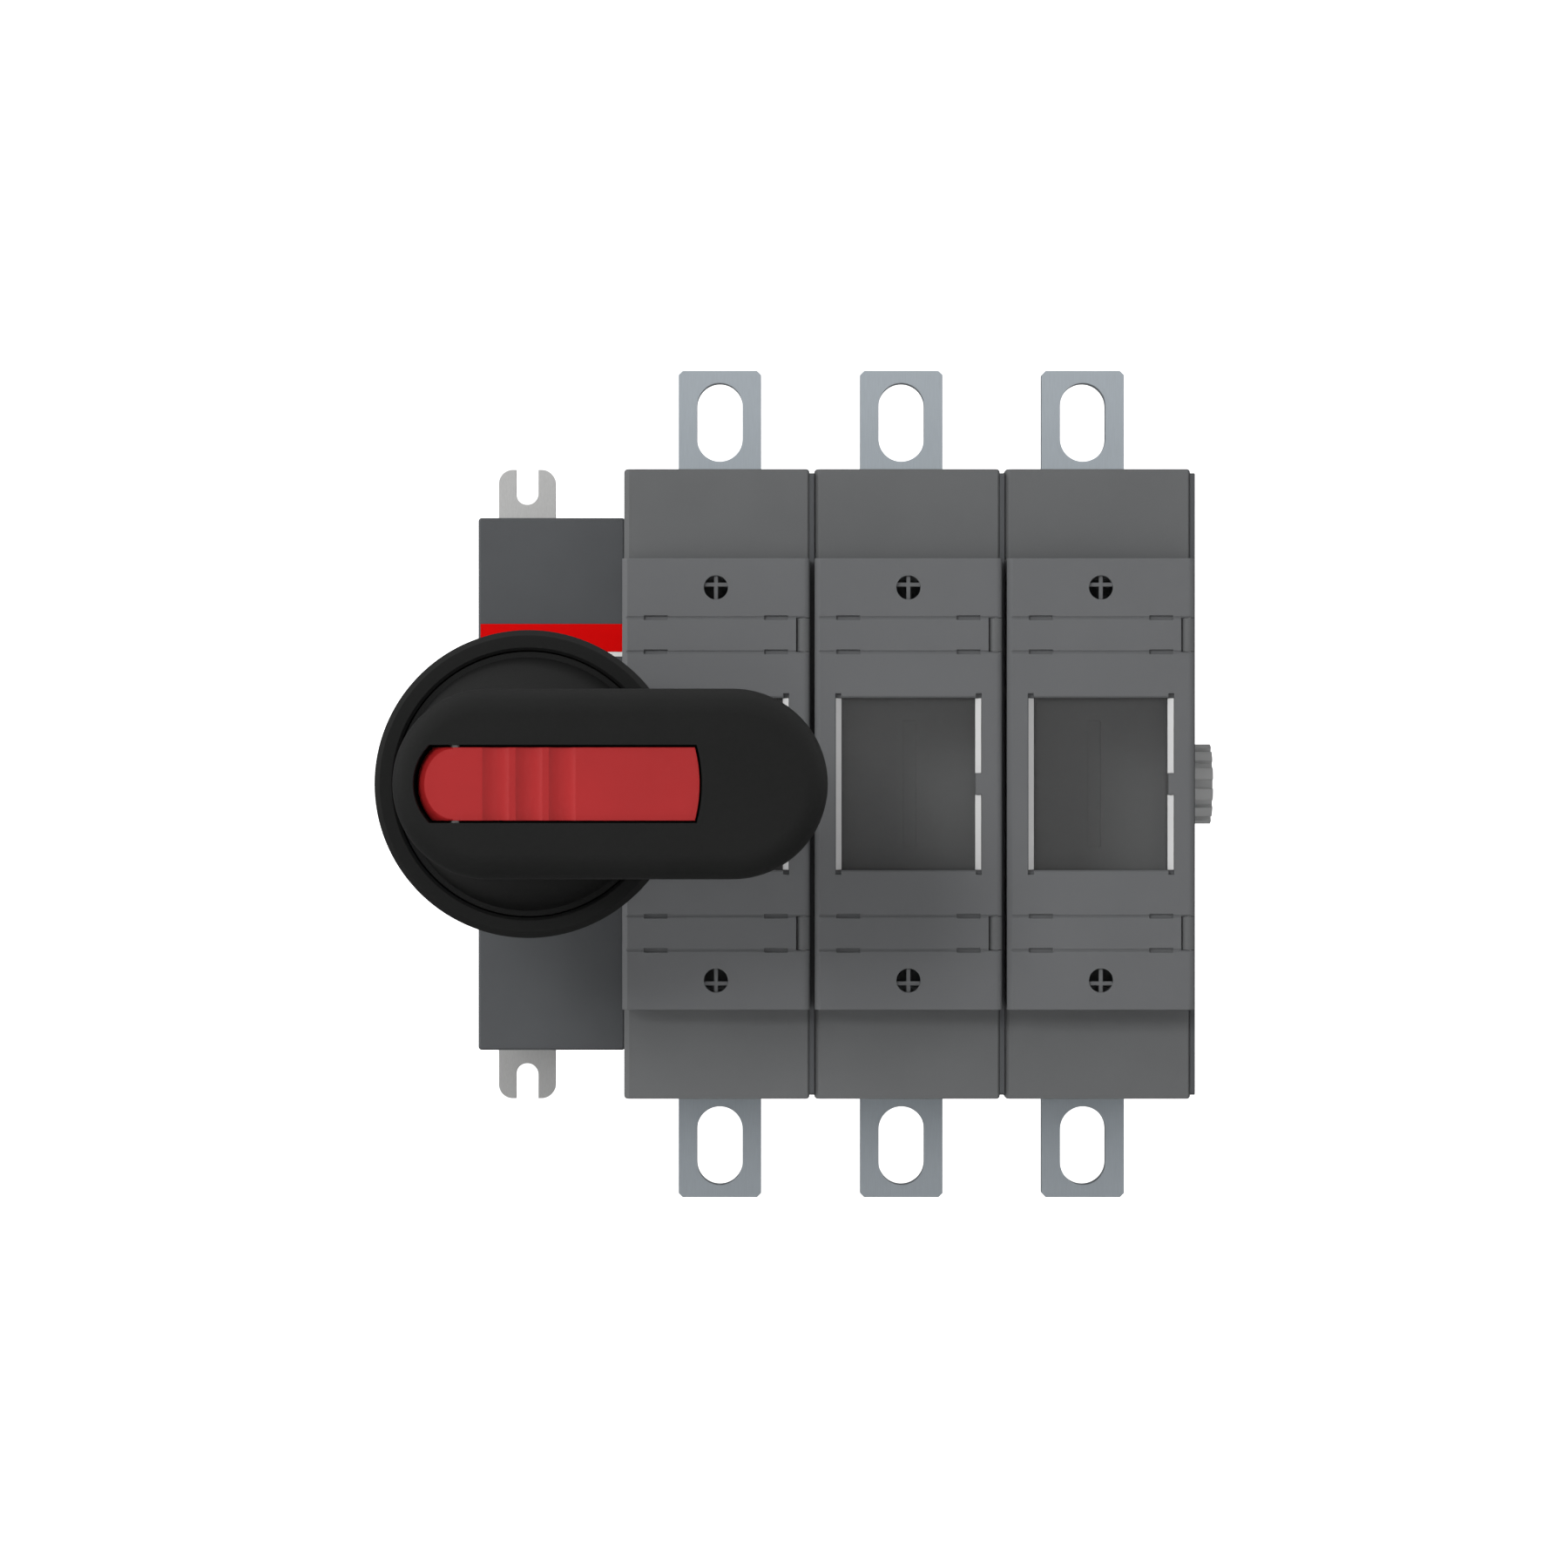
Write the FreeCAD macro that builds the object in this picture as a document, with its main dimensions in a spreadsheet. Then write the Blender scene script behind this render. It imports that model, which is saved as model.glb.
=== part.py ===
# Fuse switch disconnector, three poles, side operated, front handle on a shaft.
# Millimetres. The back plane is y = 0 and the front faces -Y, with +Z up and +X to the right
# seen from the front. The origin lies between the two mounting slots on the back plane.
# A depth is a distance in front of the back plane, so a point at depth d has y = -d.
import FreeCAD, Part
import math
import os
import re
import Sketcher

doc = FreeCAD.newDocument("fuse_switch_disconnector")
POLES = 3
CAP_GROOVES = 12

# Driving sizes: name, value, what it measures.
SIZES = (
    ("pole_pitch", 44.0, "width of one pole module"),
    ("pole_half_height", 72.8, "middle of a pole to its top face"),
    ("base_depth", 60.0, "depth of the joint between pole base and pole front"),
    ("shroud_depth", 94.0, "depth of the terminal shroud's face"),
    ("cover_width", 42.9, "width of a pole's mouldings and lid; its side plate takes the rest"),
    ("pole_wall", 2.5, "wall of the pole mouldings"),
    ("plate_inset", 0.9, "top of a pole to the top of its side plate"),
    ("pole_corner", 0.8, "rounding of the outer corners of the poles and the case"),
    ("parting_bevel", 0.3, "bevel on both sides of a joint between two mouldings"),
    ("back_sink", 1.2, "depth of the recesses in a pole's back"),
    ("back_rib", 3.0, "width of the ribs between the recesses in a pole's back"),
    ("edge_bevel", 1.2, "bevel on the left front edge of shroud and lid"),
    ("edge_break", 0.5, "bevel on the right front edge of the shroud"),
    ("compartment_side", 3.0, "pole side to the side of the fuse compartment"),
    ("compartment_half_height", 47.0, "middle to the end of the fuse compartment"),
    ("floor_thickness", 2.5, "floor of the fuse compartment"),
    ("guide_shift", 1.5, "guide slot to the right of the pole's middle"),
    ("guide_width", 3.0, "width of the guide slot in the floor"),
    ("guide_length", 30.0, "length of the guide slot in the floor"),
    ("guide_sink", 1.2, "depth of the guide slot in the floor"),
    ("lid_half_height", 51.6, "middle of a lid to its end"),
    ("lid_rise", 12.0, "shroud face to the lid's front"),
    ("lid_gap", 0.4, "gap between lid and shroud face"),
    ("lid_wall", 2.0, "wall of the lid"),
    ("swing_relief", 1.6, "bevel on the lid's left back edge, which clears the next lid in its swing"),
    ("window_half_width", 16.7, "middle to side of the window opening"),
    ("window_half_height", 19.7, "middle to end of the window opening"),
    ("pane_gap", 0.1, "gap round the pane in its opening"),
    ("pane_flange", 1.6, "reach of the pane's flange behind the lid's front plate"),
    ("pane_flange_thickness", 1.4, "thickness of the pane's flange"),
    ("pane_recess", 1.5, "pane's face behind the lid's front"),
    ("pane_slope", 1.3, "width of the slope along each side of the pane"),
    ("pane_rim", 0.2, "top of the pane's slopes behind the lid's front"),
    ("tab_half_height", 2.4, "half the height of the tab at the window's right side"),
    ("corner_notch", 1.0, "size of the notches at the window's corners"),
    ("window_bevel", 0.4, "bevel round the window opening"),
    ("probe_height", 44.9, "middle of the lid to a probe hole"),
    ("probe_radius", 2.75, "radius of a probe hole"),
    ("probe_rib", 0.9, "width of the cross rib in a probe hole"),
    ("probe_rib_shift", 0.7, "probe hole's middle out to its level rib"),
    ("line_width", 0.5, "width of the thin lines across the lid"),
    ("line_sink", 0.25, "sink of the thin lines"),
    ("clip_slot_length", 5.4, "length of the dark clip slots on the lines"),
    ("clip_slot_inset", 5.0, "side of the lid to a clip slot"),
    ("lug_low", 30.2, "lower end of a hinge lug, at the first thin line"),
    ("lug_high", 38.0, "upper end of a hinge lug, at the second thin line"),
    ("lug_gap", 0.1, "gap between a hinge lug and the lid"),
    ("hinge_inset", 1.5, "hinge pin to the lid's right side and front"),
    ("hinge_pin_radius", 0.7, "radius of a hinge pin"),
    ("knuckle_length", 4.2, "length of a lid knuckle"),
    ("tongue_inset", 4.8, "lid's left side to its latch tongue"),
    ("tongue_thickness", 1.5, "thickness of the latch tongue"),
    ("tongue_height", 42.5, "middle of the lid to a latch tongue"),
    ("tongue_half_height", 2.5, "half the height of a latch tongue"),
    ("tongue_reach", 3.6, "reach of the latch tongue behind the shroud face"),
    ("run_gap", 0.05, "running clearance of shafts, pins and blades"),
    ("shaft_depth", 30.0, "depth of the contact shaft's axis"),
    ("shaft_square", 7.0, "side of the square contact shaft"),
    ("drum_radius", 9.0, "radius of a rotor's drum"),
    ("drum_half_length", 12.0, "half the length of a rotor's drum"),
    ("journal_radius", 6.5, "radius of a rotor's journals"),
    ("contact_reach", 26.0, "shaft axis to the tip of a moving contact"),
    ("contact_width", 8.0, "width of a moving contact across its reach"),
    ("contact_seat", 5.0, "shaft axis to the seat of a moving contact"),
    ("prong_thickness", 3.0, "thickness of a moving contact's prongs"),
    ("terminal_depth", 40.0, "depth of the terminal's rear face"),
    ("terminal_thickness", 4.0, "thickness of a terminal"),
    ("terminal_width", 20.0, "width of a terminal"),
    ("terminal_reach", 100.2, "middle of the pole to a terminal's end"),
    ("terminal_corner", 1.0, "bevel on a terminal's corners"),
    ("terminal_hole", 11.0, "width of a terminal's slotted hole"),
    ("terminal_slot", 19.0, "length of a terminal's slotted hole"),
    ("terminal_hole_height", 87.7, "middle of the pole to a slotted hole"),
    ("terminal_shoulder", 36.0, "middle to where a terminal narrows to its fork"),
    ("terminal_clearance", 0.2, "gap round a terminal in the housing"),
    ("fork_thickness", 1.5, "thickness of a fixed contact's leaves"),
    ("fork_low", 18.0, "shaft axis to the near end of a fork"),
    ("fork_back", 24.0, "depth of the rear edge of a fork"),
    ("fork_root", 28.0, "middle to the narrow bar that carries a fork"),
    ("jaw_low", 24.0, "middle to the near end of a fuse jaw"),
    ("jaw_high", 39.0, "middle to the far end of a fuse jaw"),
    ("jaw_gap", 6.1, "gap between a fuse jaw's leaves"),
    ("jaw_depth", 84.0, "depth of the tips of a fuse jaw"),
    ("jaw_flare", 2.5, "outward flare of a fuse jaw's tips"),
    ("jaw_foot", 2.0, "thickness of a fuse jaw's foot and link"),
    ("link_height", 33.0, "middle to the middle of a fuse jaw's link"),
    ("plate_thickness", 1.0, "thickness of an arc plate"),
    ("plate_first", 14.0, "middle to the first arc plate"),
    ("plate_pitch", 4.0, "spacing of the arc plates"),
    ("plate_gap", 1.0, "contact tip's path to the arc plates"),
    ("plate_margin", 1.5, "fork to the arc plates"),
    ("rod_height", 48.0, "middle to a tie rod"),
    ("rod_depth", 12.0, "depth of the tie rods"),
    ("rod_radius", 2.0, "radius of a tie rod"),
    ("rod_head_radius", 3.8, "radius of a tie rod's head"),
    ("rod_head_length", 2.6, "length of a tie rod's head"),
    ("nut_radius", 4.0, "middle of a tie rod nut to its corners"),
    ("nut_length", 3.2, "length of a tie rod nut"),
    ("cap_radius", 9.8, "radius of the shaft's end cap"),
    ("cap_length", 9.2, "length of the end cap"),
    ("cap_gap", 0.3, "gap between the end cap and the last pole"),
    ("cap_groove_width", 2.2, "width of an end cap groove"),
    ("cap_groove_sink", 1.6, "depth of an end cap groove"),
    ("case_left", -6.5, "left side of the mechanism case"),
    ("case_width", 34.2, "width of the mechanism case"),
    ("case_half_height", 62.0, "middle to the top of the mechanism case"),
    ("case_back", 4.5, "thickness of the case's back"),
    ("case_wall", 2.5, "wall of the mechanism case"),
    ("case_depth", 80.0, "depth of the joint between case and cover"),
    ("cover_depth", 86.0, "depth of the mechanism cover's front"),
    ("cover_plate", 3.0, "thickness of the cover's front plate"),
    ("cover_bevel", 0.5, "bevel round the cover's front"),
    ("boss_radius", 9.0, "radius of the case's rear bearing boss"),
    ("boss_depth", 8.5, "depth of the bearing boss's face"),
    ("foot_width", 14.3, "width of a mounting foot"),
    ("foot_thickness", 2.0, "thickness of a mounting foot"),
    ("foot_root", 45.0, "middle to the inner end of a mounting foot"),
    ("foot_tip", 79.2, "middle to the tips of a mounting foot"),
    ("foot_slot_height", 73.2, "middle to the centre of a mounting slot"),
    ("foot_slot_width", 5.6, "width of a mounting slot"),
    ("foot_corner", 3.5, "rounding of a mounting foot's prongs"),
    ("foot_gap", 0.1, "gap round a mounting foot in its seat"),
    ("axis_right", 9.6, "handle axis to the right of the origin"),
    ("drive_square", 6.0, "side of the square operating shaft"),
    ("drive_shaft_depth", 178.0, "depth of the operating shaft's front end"),
    ("gear_outer", 11.0, "gear apex to the back of its teeth"),
    ("gear_inner", 7.5, "gear apex to the front of its teeth"),
    ("gear_hub_radius", 6.0, "radius of the drive gear's hub"),
    ("gear_hub_depth", 88.0, "depth of the drive gear hub's front end"),
    ("bush_radius", 8.0, "outer radius of the front bush"),
    ("bush_flange", 10.5, "radius of the front bush's flange"),
    ("bush_flange_thickness", 1.5, "thickness of the front bush's flange"),
    ("crank_thickness", 3.0, "thickness of the snap crank"),
    ("crank_reach", 10.0, "handle axis to the crank pin"),
    ("crank_pin_radius", 1.5, "radius of the crank pin"),
    ("crank_pin_depth", 17.8, "depth of the crank pin's end"),
    ("anchor_height", 42.0, "middle to the snap spring's anchor post"),
    ("anchor_radius", 3.0, "radius of the anchor post"),
    ("snap_coil_radius", 2.6, "middle radius of the snap spring's coil"),
    ("snap_wire_radius", 0.55, "radius of the snap spring's wire"),
    ("snap_turns", 7.0, "turns of the snap spring"),
    ("collar_depth", 154.0, "depth of the handle collar's back"),
    ("collar_height", 10.0, "height of the handle collar"),
    ("collar_radius", 33.2, "outer radius of the handle collar"),
    ("collar_rim", 4.4, "width of the collar's rim"),
    ("collar_plate", 2.0, "thickness of the collar's plate"),
    ("collar_gap", 0.3, "gap between the collar and the handle's disc"),
    ("hub_radius", 12.0, "radius of the handle's hub"),
    ("hub_depth", 142.0, "depth of the handle hub's back"),
    ("clip_radius", 14.0, "outer radius of the collar's retaining ring"),
    ("clip_groove_radius", 11.0, "radius of the groove for the retaining ring"),
    ("clip_thickness", 1.2, "thickness of the retaining ring"),
    ("disc_top_depth", 163.0, "depth of the handle disc's face"),
    ("grip_half_width", 20.0, "half the width of the grip"),
    ("grip_tail", 27.0, "handle axis to the grip's left end"),
    ("grip_tip", 64.3, "handle axis to the grip's tip"),
    ("grip_under_depth", 172.0, "depth of the grip's underside"),
    ("grip_depth", 194.0, "depth of the grip's front"),
    ("grip_round", 5.0, "rounding of the grip's front edge"),
    ("flare_depth", 186.0, "depth where the disc's flare meets the grip"),
    ("flare_shift", 7.0, "handle axis to the middle of the flare's front end, to the left"),
    ("grip_wall", 3.0, "wall of the hollow grip"),
    ("grip_hollow_start", 32.0, "handle axis to the start of the grip's hollow"),
    ("lever_half_width", 7.65, "half the width of the lock lever"),
    ("lever_tip", 37.5, "handle axis to the lock lever's tip"),
    ("lever_front", 193.0, "depth of the lock lever's front"),
    ("lever_thickness", 7.0, "thickness of the lock lever"),
    ("lever_gap", 0.5, "gap round the lock lever in its recess"),
    ("lever_pivot", 14.0, "handle axis to the lock lever's pin, to the left"),
    ("lever_pivot_sink", 5.0, "lock lever's front to its pin"),
    ("lever_tail_radius", 7.8, "lock lever's pin to the middle of its round tail"),
    ("lever_end_arc", 11.0, "radius of the lock lever's tail seen from the front"),
    ("lever_tip_arc", 30.0, "radius of the lock lever's tip seen from the front"),
    ("lever_pin_radius", 1.3, "radius of the lock lever's pin"),
    ("lever_pin_half_length", 14.8, "half the length of the lock lever's pin"),
    ("tooth_pitch", 6.95, "spacing of the lock lever's grooves"),
    ("tooth_first", -5.1, "handle axis to the middle of the first groove"),
    ("tooth_sink", 0.9, "depth of the lock lever's grooves"),
    ("tooth_width", 5.6, "width of the lock lever's grooves"),
    ("return_coil_radius", 2.3, "middle radius of the lever spring's coil"),
    ("return_wire_radius", 0.35, "radius of the lever spring's wire"),
    ("return_turns", 4.0, "turns of the lever spring"),
    ("return_half_slot", 2.4, "half the width of the spring's slot in the lever"),
    ("set_screw_radius", 2.0, "radius of the handle's set screw"),
    ("set_screw_depth", 147.0, "depth of the handle's set screw"),
)

sheet = doc.addObject("Spreadsheet::Sheet", "Sizes")
for row, (alias, value, note) in enumerate(SIZES, start=1):
    sheet.set(f"A{row}", alias)
    sheet.set(f"B{row}", str(value))
    sheet.setAlias(f"B{row}", alias)
    sheet.set(f"C{row}", note)
doc.recompute()
NAMES = {alias for alias, value, note in SIZES}

# Places worked out from the sizes, used by several pieces.
POLE_LEFT = "(case_left + case_width)"
MIDDLE = "(cover_width / 2)"
LID_FRONT = "(shroud_depth + lid_rise)"
LID_BACK = "(shroud_depth + lid_gap)"
PIN_X = "(cover_width - hinge_inset)"
PIN_DEPTH = f"({LID_FRONT} - hinge_inset)"
LID_INSIDE = f"({LID_FRONT} - lid_wall)"
FLOOR_FRONT = "(base_depth + floor_thickness)"
PRONG_X = "(terminal_width / 2 - fork_thickness - run_gap - prong_thickness / 2)"
FORK_SPAN = "(2 * fork_thickness + 2 * run_gap + prong_thickness)"
PIVOT_DEPTH = "(lever_front - lever_pivot_sink)"


def bound(text):
    """A size formula with each size name pointed at the sheet."""
    return re.sub(r"[a-z]\w*", lambda word: "Sizes." + word.group() if word.group() in NAMES
                  else word.group(), str(text))


def number(text):
    """The present value of a size formula."""
    return float(sheet.evalExpression(bound(text)))


def bind(obj, prop, text):
    """Bind one property of an object to a size formula."""
    obj.setExpression(prop, bound(text))


def place(obj, x="0", y="0", z="0"):
    """Bind the position of an object."""
    for axis, text in (("x", x), ("y", y), ("z", z)):
        if str(text) != "0":
            bind(obj, f"Placement.Base.{axis}", text)
    return obj


def box(name, x, y, z):
    """A block between two formulas along each axis."""
    block = doc.addObject("Part::Box", name)
    for prop, (low, high) in (("Length", x), ("Width", y), ("Height", z)):
        bind(block, prop, f"({high}) - ({low})")
    return place(block, x[0], y[0], z[0])


def rod(name, axis, radius, start, end, centre):
    """A cylinder along X, Y or Z, from start to end; centre holds its other two coordinates."""
    turn = {"X": (FreeCAD.Vector(0, 1, 0), 90), "Y": (FreeCAD.Vector(1, 0, 0), -90),
            "Z": (FreeCAD.Vector(0, 0, 1), 0)}[axis]
    spots = {"X": (start, centre[0], centre[1]), "Y": (centre[0], start, centre[1]),
             "Z": (centre[0], centre[1], start)}[axis]
    bar = doc.addObject("Part::Cylinder", name)
    bind(bar, "Radius", radius)
    bind(bar, "Height", f"({end}) - ({start})")
    bar.Placement = FreeCAD.Placement(FreeCAD.Vector(), FreeCAD.Rotation(*turn))
    return place(bar, *spots)


def cut(name, base, *tools):
    """Base less the tools."""
    tool = tools[0] if len(tools) == 1 else fuse(name + "_tools", *tools)
    result = doc.addObject("Part::Cut", name)
    result.Base = base
    result.Tool = tool
    return result


def fuse(name, *pieces):
    """The pieces joined; pieces that lie apart stay separate solids."""
    result = doc.addObject("Part::MultiFuse", name)
    result.Shapes = list(pieces)
    return result


def common(name, *pieces):
    """What the pieces share."""
    result = doc.addObject("Part::MultiCommon", name)
    result.Shapes = list(pieces)
    return result


def mirror_down(name, source):
    """The source mirrored to the other side of the middle plane z = 0."""
    result = doc.addObject("Part::Mirroring", name)
    result.Source = source
    result.Normal = FreeCAD.Vector(0, 0, 1)
    return result


def new_body(name):
    """An empty body."""
    return doc.addObject("PartDesign::Body", name)


def sketch_on(body, plane, offset="0"):
    """A sketch on a plane of the body's own origin, moved along the plane's normal.
    XZ faces the front and its offset is a depth; XY faces up; YZ faces right."""
    sketch = body.newObject("Sketcher::SketchObject", f"{body.Name}_sketch")
    support = [item for item in body.Origin.OriginFeatures if item.Role == plane + "_Plane"][0]
    sketch.AttachmentSupport = (support, "")
    sketch.MapMode = "FlatFace"
    bind(sketch, "AttachmentOffset.Base.z", offset)
    return sketch


def fix(sketch, kind, geometry, point, text):
    """Dimension one coordinate of a point from the sketch origin, bound to a formula."""
    item = sketch.addConstraint(Sketcher.Constraint(kind, -1, 1, geometry, point, number(text)))
    bind(sketch, f"Constraints[{item}]", text)


def polygon(sketch, *points):
    """A closed outline of straight lines, each corner dimensioned from the origin."""
    spots = [FreeCAD.Vector(number(x), number(y), 0) for x, y in points]
    lines = [sketch.addGeometry(Part.LineSegment(spot, spots[(index + 1) % len(spots)]), False)
             for index, spot in enumerate(spots)]
    for index, line in enumerate(lines):
        following = lines[(index + 1) % len(lines)]
        sketch.addConstraint(Sketcher.Constraint("Coincident", line, 2, following, 1))
        fix(sketch, "DistanceX", line, 1, points[index][0])
        fix(sketch, "DistanceY", line, 1, points[index][1])
    return sketch


def rectangle(sketch, x, y):
    """A rectangle between two formulas along each sketch axis."""
    return polygon(sketch, (x[0], y[0]), (x[1], y[0]), (x[1], y[1]), (x[0], y[1]))


def circle(sketch, x, y, radius):
    """A circle with its centre and radius dimensioned."""
    ring = Part.Circle(FreeCAD.Vector(number(x), number(y), 0), FreeCAD.Vector(0, 0, 1),
                       number(radius))
    item = sketch.addGeometry(ring, False)
    fix(sketch, "DistanceX", item, 3, x)
    fix(sketch, "DistanceY", item, 3, y)
    size = sketch.addConstraint(Sketcher.Constraint("Radius", item, number(radius)))
    bind(sketch, f"Constraints[{size}]", radius)
    return sketch


def stadium(sketch, x, y, radius):
    """A long hole's outline: two half circles joined by lines. One of x and y is a pair of
    formulas, the centres of the half circles, and the other is a single formula."""
    along_x = isinstance(x, tuple)
    first = (x[0], y) if along_x else (x, y[0])
    second = (x[1], y) if along_x else (x, y[1])
    size = number(radius)
    turn = math.pi / 2 if along_x else math.pi
    arcs = []
    for centre, start in ((first, turn), (second, turn + math.pi)):
        middle = FreeCAD.Vector(number(centre[0]), number(centre[1]), 0)
        whole = Part.Circle(middle, FreeCAD.Vector(0, 0, 1), size)
        arc = sketch.addGeometry(Part.ArcOfCircle(whole, start, start + math.pi), False)
        fix(sketch, "DistanceX", arc, 3, centre[0])
        fix(sketch, "DistanceY", arc, 3, centre[1])
        arcs.append(arc)
    for arc, other in (arcs, arcs[::-1]):
        ends = [sketch.getPoint(arc, 2), sketch.getPoint(other, 1)]
        line = sketch.addGeometry(Part.LineSegment(*ends), False)
        sketch.addConstraint(Sketcher.Constraint("Tangent", arc, 2, line, 1))
        sketch.addConstraint(Sketcher.Constraint("Tangent", line, 2, other, 1))
    item = sketch.addConstraint(Sketcher.Constraint("Radius", arcs[0], size))
    bind(sketch, f"Constraints[{item}]", radius)
    return sketch


def pad(sketch, length):
    """Material from the sketch along its plane's normal."""
    body = sketch.getParentGeoFeatureGroup()
    feature = body.newObject("PartDesign::Pad", f"{body.Name}_pad")
    feature.Profile = sketch
    bind(feature, "Length", length)
    return feature


def pocket(sketch, length):
    """A cut from the sketch against its plane's normal."""
    body = sketch.getParentGeoFeatureGroup()
    feature = body.newObject("PartDesign::Pocket", f"{body.Name}_pocket")
    feature.Profile = sketch
    bind(feature, "Length", length)
    return feature


def revolve(sketch, axis):
    """A full turn of the sketch about its own H_Axis or V_Axis."""
    body = sketch.getParentGeoFeatureGroup()
    feature = body.newObject("PartDesign::Revolution", f"{body.Name}_revolve")
    feature.Profile = sketch
    feature.ReferenceAxis = (sketch, [axis])
    feature.Angle = 360
    return feature


def dress(body, kind, size, chosen):
    """A Fillet or Chamfer on the edges that the chosen test accepts."""
    doc.recompute()
    base = body.Tip
    names = [f"Edge{index}" for index, edge in enumerate(base.Shape.Edges, start=1) if chosen(edge)]
    feature = body.newObject("PartDesign::" + kind, f"{body.Name}_{kind.lower()}")
    feature.Base = (base, names)
    bind(feature, "Radius" if kind == "Fillet" else "Size", size)
    return feature


def runs_along(edge, axis):
    """True for a straight edge along the axis X, Y or Z."""
    if edge.Curve.TypeId != "Part::GeomLine":
        return False
    return abs(getattr(edge.Curve.Direction, axis.lower())) > 0.999


def edge_at(edge, tolerance=0.01, **spots):
    """True for an edge whose two ends lie at each given coordinate, such as x or y."""
    return all(abs(getattr(corner.Point, axis) - spot) < tolerance
               for corner in edge.Vertexes for axis, spot in spots.items())


nodes = {}


def node(name, obj):
    """Name a finished sub-part; the name is its label and its file's name."""
    obj.Label = name
    nodes[name] = obj
    return obj


# Mechanism: case, cover, mounting feet, gears and snap drive.
def mechanism_case():
    """Moulded case, open at the front, with seats for the feet and bearings for two shafts."""
    case = new_body("mechanism_case")
    right = "(case_left + case_width)"
    outline = sketch_on(case, "XZ")
    rectangle(outline, ("case_left", right), ("-case_half_height", "case_half_height"))
    pad(outline, "case_depth")
    joint = -number("case_depth")
    dress(case, "Fillet", "pole_corner", lambda edge: runs_along(edge, "Y"))
    dress(case, "Chamfer", "parting_bevel", lambda edge: edge_at(edge, y=joint))
    hollow = sketch_on(case, "XZ", "case_depth")
    rectangle(hollow, ("case_left + case_wall", right + " - case_wall"),
              ("-case_half_height + case_wall", "case_half_height - case_wall"))
    pocket(hollow, "case_depth - case_back")
    boss = sketch_on(case, "XZ", "case_back")
    circle(boss, "axis_right", "0", "boss_radius")
    pad(boss, "boss_depth - case_back")
    bearing = sketch_on(case, "XZ", "boss_depth")
    circle(bearing, "axis_right", "0", "gear_hub_radius + run_gap")
    pocket(bearing, "boss_depth - case_back")
    post = sketch_on(case, "XZ", "case_back")
    circle(post, "axis_right", "anchor_height", "anchor_radius")
    pad(post, "crank_pin_depth - case_back")
    shaft_bore = sketch_on(case, "YZ", right)
    circle(shaft_bore, "-shaft_depth", "0", "journal_radius + run_gap")
    pocket(shaft_bore, "2 * case_wall")
    rod_bores = sketch_on(case, "YZ", right)
    for height in ("rod_height", "-rod_height"):
        circle(rod_bores, "-rod_depth", height, "rod_radius + run_gap")
    pocket(rod_bores, "case_width")
    seats = sketch_on(case, "XZ", "foot_thickness")
    for low, high in (("foot_root - foot_gap", "case_half_height + case_wall"),
                      ("-case_half_height - case_wall", "-foot_root + foot_gap")):
        rectangle(seats, ("-foot_width / 2 - foot_gap", "foot_width / 2 + foot_gap"), (low, high))
    pocket(seats, "foot_thickness")
    pegs = sketch_on(case, "XZ")
    for side in ("", "-"):
        circle(pegs, "0", f"{side}(foot_root + case_half_height) / 2", "foot_slot_width / 2")
    pad(pegs, "foot_thickness")
    return node("mechanism_case", case)


def mechanism_cover():
    """Front cover with a bevelled face and a skirt that fits inside the case."""
    cover = new_body("mechanism_cover")
    right = "(case_left + case_width)"
    outline = sketch_on(cover, "XZ", "case_depth")
    rectangle(outline, ("case_left", right), ("-case_half_height", "case_half_height"))
    pad(outline, "cover_depth - case_depth")
    dress(cover, "Fillet", "pole_corner", lambda edge: runs_along(edge, "Y"))
    for depth, bevel in (("cover_depth", "cover_bevel"), ("case_depth", "parting_bevel")):
        level = -number(depth)
        dress(cover, "Chamfer", bevel, lambda edge: edge_at(edge, y=level))
    skirt = sketch_on(cover, "XZ", "case_depth - case_wall")
    inner = "(case_wall + 2 * run_gap)"
    rectangle(skirt, (f"case_left + {inner}", f"{right} - {inner}"),
              (f"-case_half_height + {inner}", f"case_half_height - {inner}"))
    pad(skirt, "case_wall + cover_plate")
    hollow = sketch_on(cover, "XZ", "cover_depth - cover_plate")
    inner = "2 * case_wall"
    rectangle(hollow, (f"case_left + {inner}", f"{right} - {inner}"),
              (f"-case_half_height + {inner}", f"case_half_height - {inner}"))
    pocket(hollow, "cover_depth - case_depth + case_wall")
    bore = sketch_on(cover, "XZ", "cover_depth")
    circle(bore, "axis_right", "0", "bush_radius")
    pocket(bore, "cover_depth - case_depth + case_wall")
    return node("mechanism_cover", cover)


def mounting_foot(name, side):
    """Stamped steel foot with a slot open at its end; side is 1 at the top and -1 below."""
    foot = new_body(name)
    half = "foot_width / 2"
    outline = sketch_on(foot, "XZ")
    low, high = ("foot_root", "foot_tip") if side > 0 else ("-foot_tip", "-foot_root")
    rectangle(outline, (f"-{half}", half), (low, high))
    pad(outline, "foot_thickness")
    tip = side * number("foot_tip")
    dress(foot, "Fillet", "foot_corner", lambda edge: runs_along(edge, "Y") and edge_at(edge, z=tip))
    slot = sketch_on(foot, "XZ", "foot_thickness")
    ends = ("foot_slot_height", "foot_tip + foot_width")
    stadium(slot, "0", ends if side > 0 else tuple(f"-({end})" for end in ends[::-1]),
            "foot_slot_width / 2")
    pocket(slot, "foot_thickness")
    hole = sketch_on(foot, "XZ", "foot_thickness")
    sign = "" if side > 0 else "-"
    circle(hole, "0", f"{sign}(foot_root + case_half_height) / 2", "foot_slot_width / 2")
    pocket(hole, "foot_thickness")
    return node(name, foot)


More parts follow.
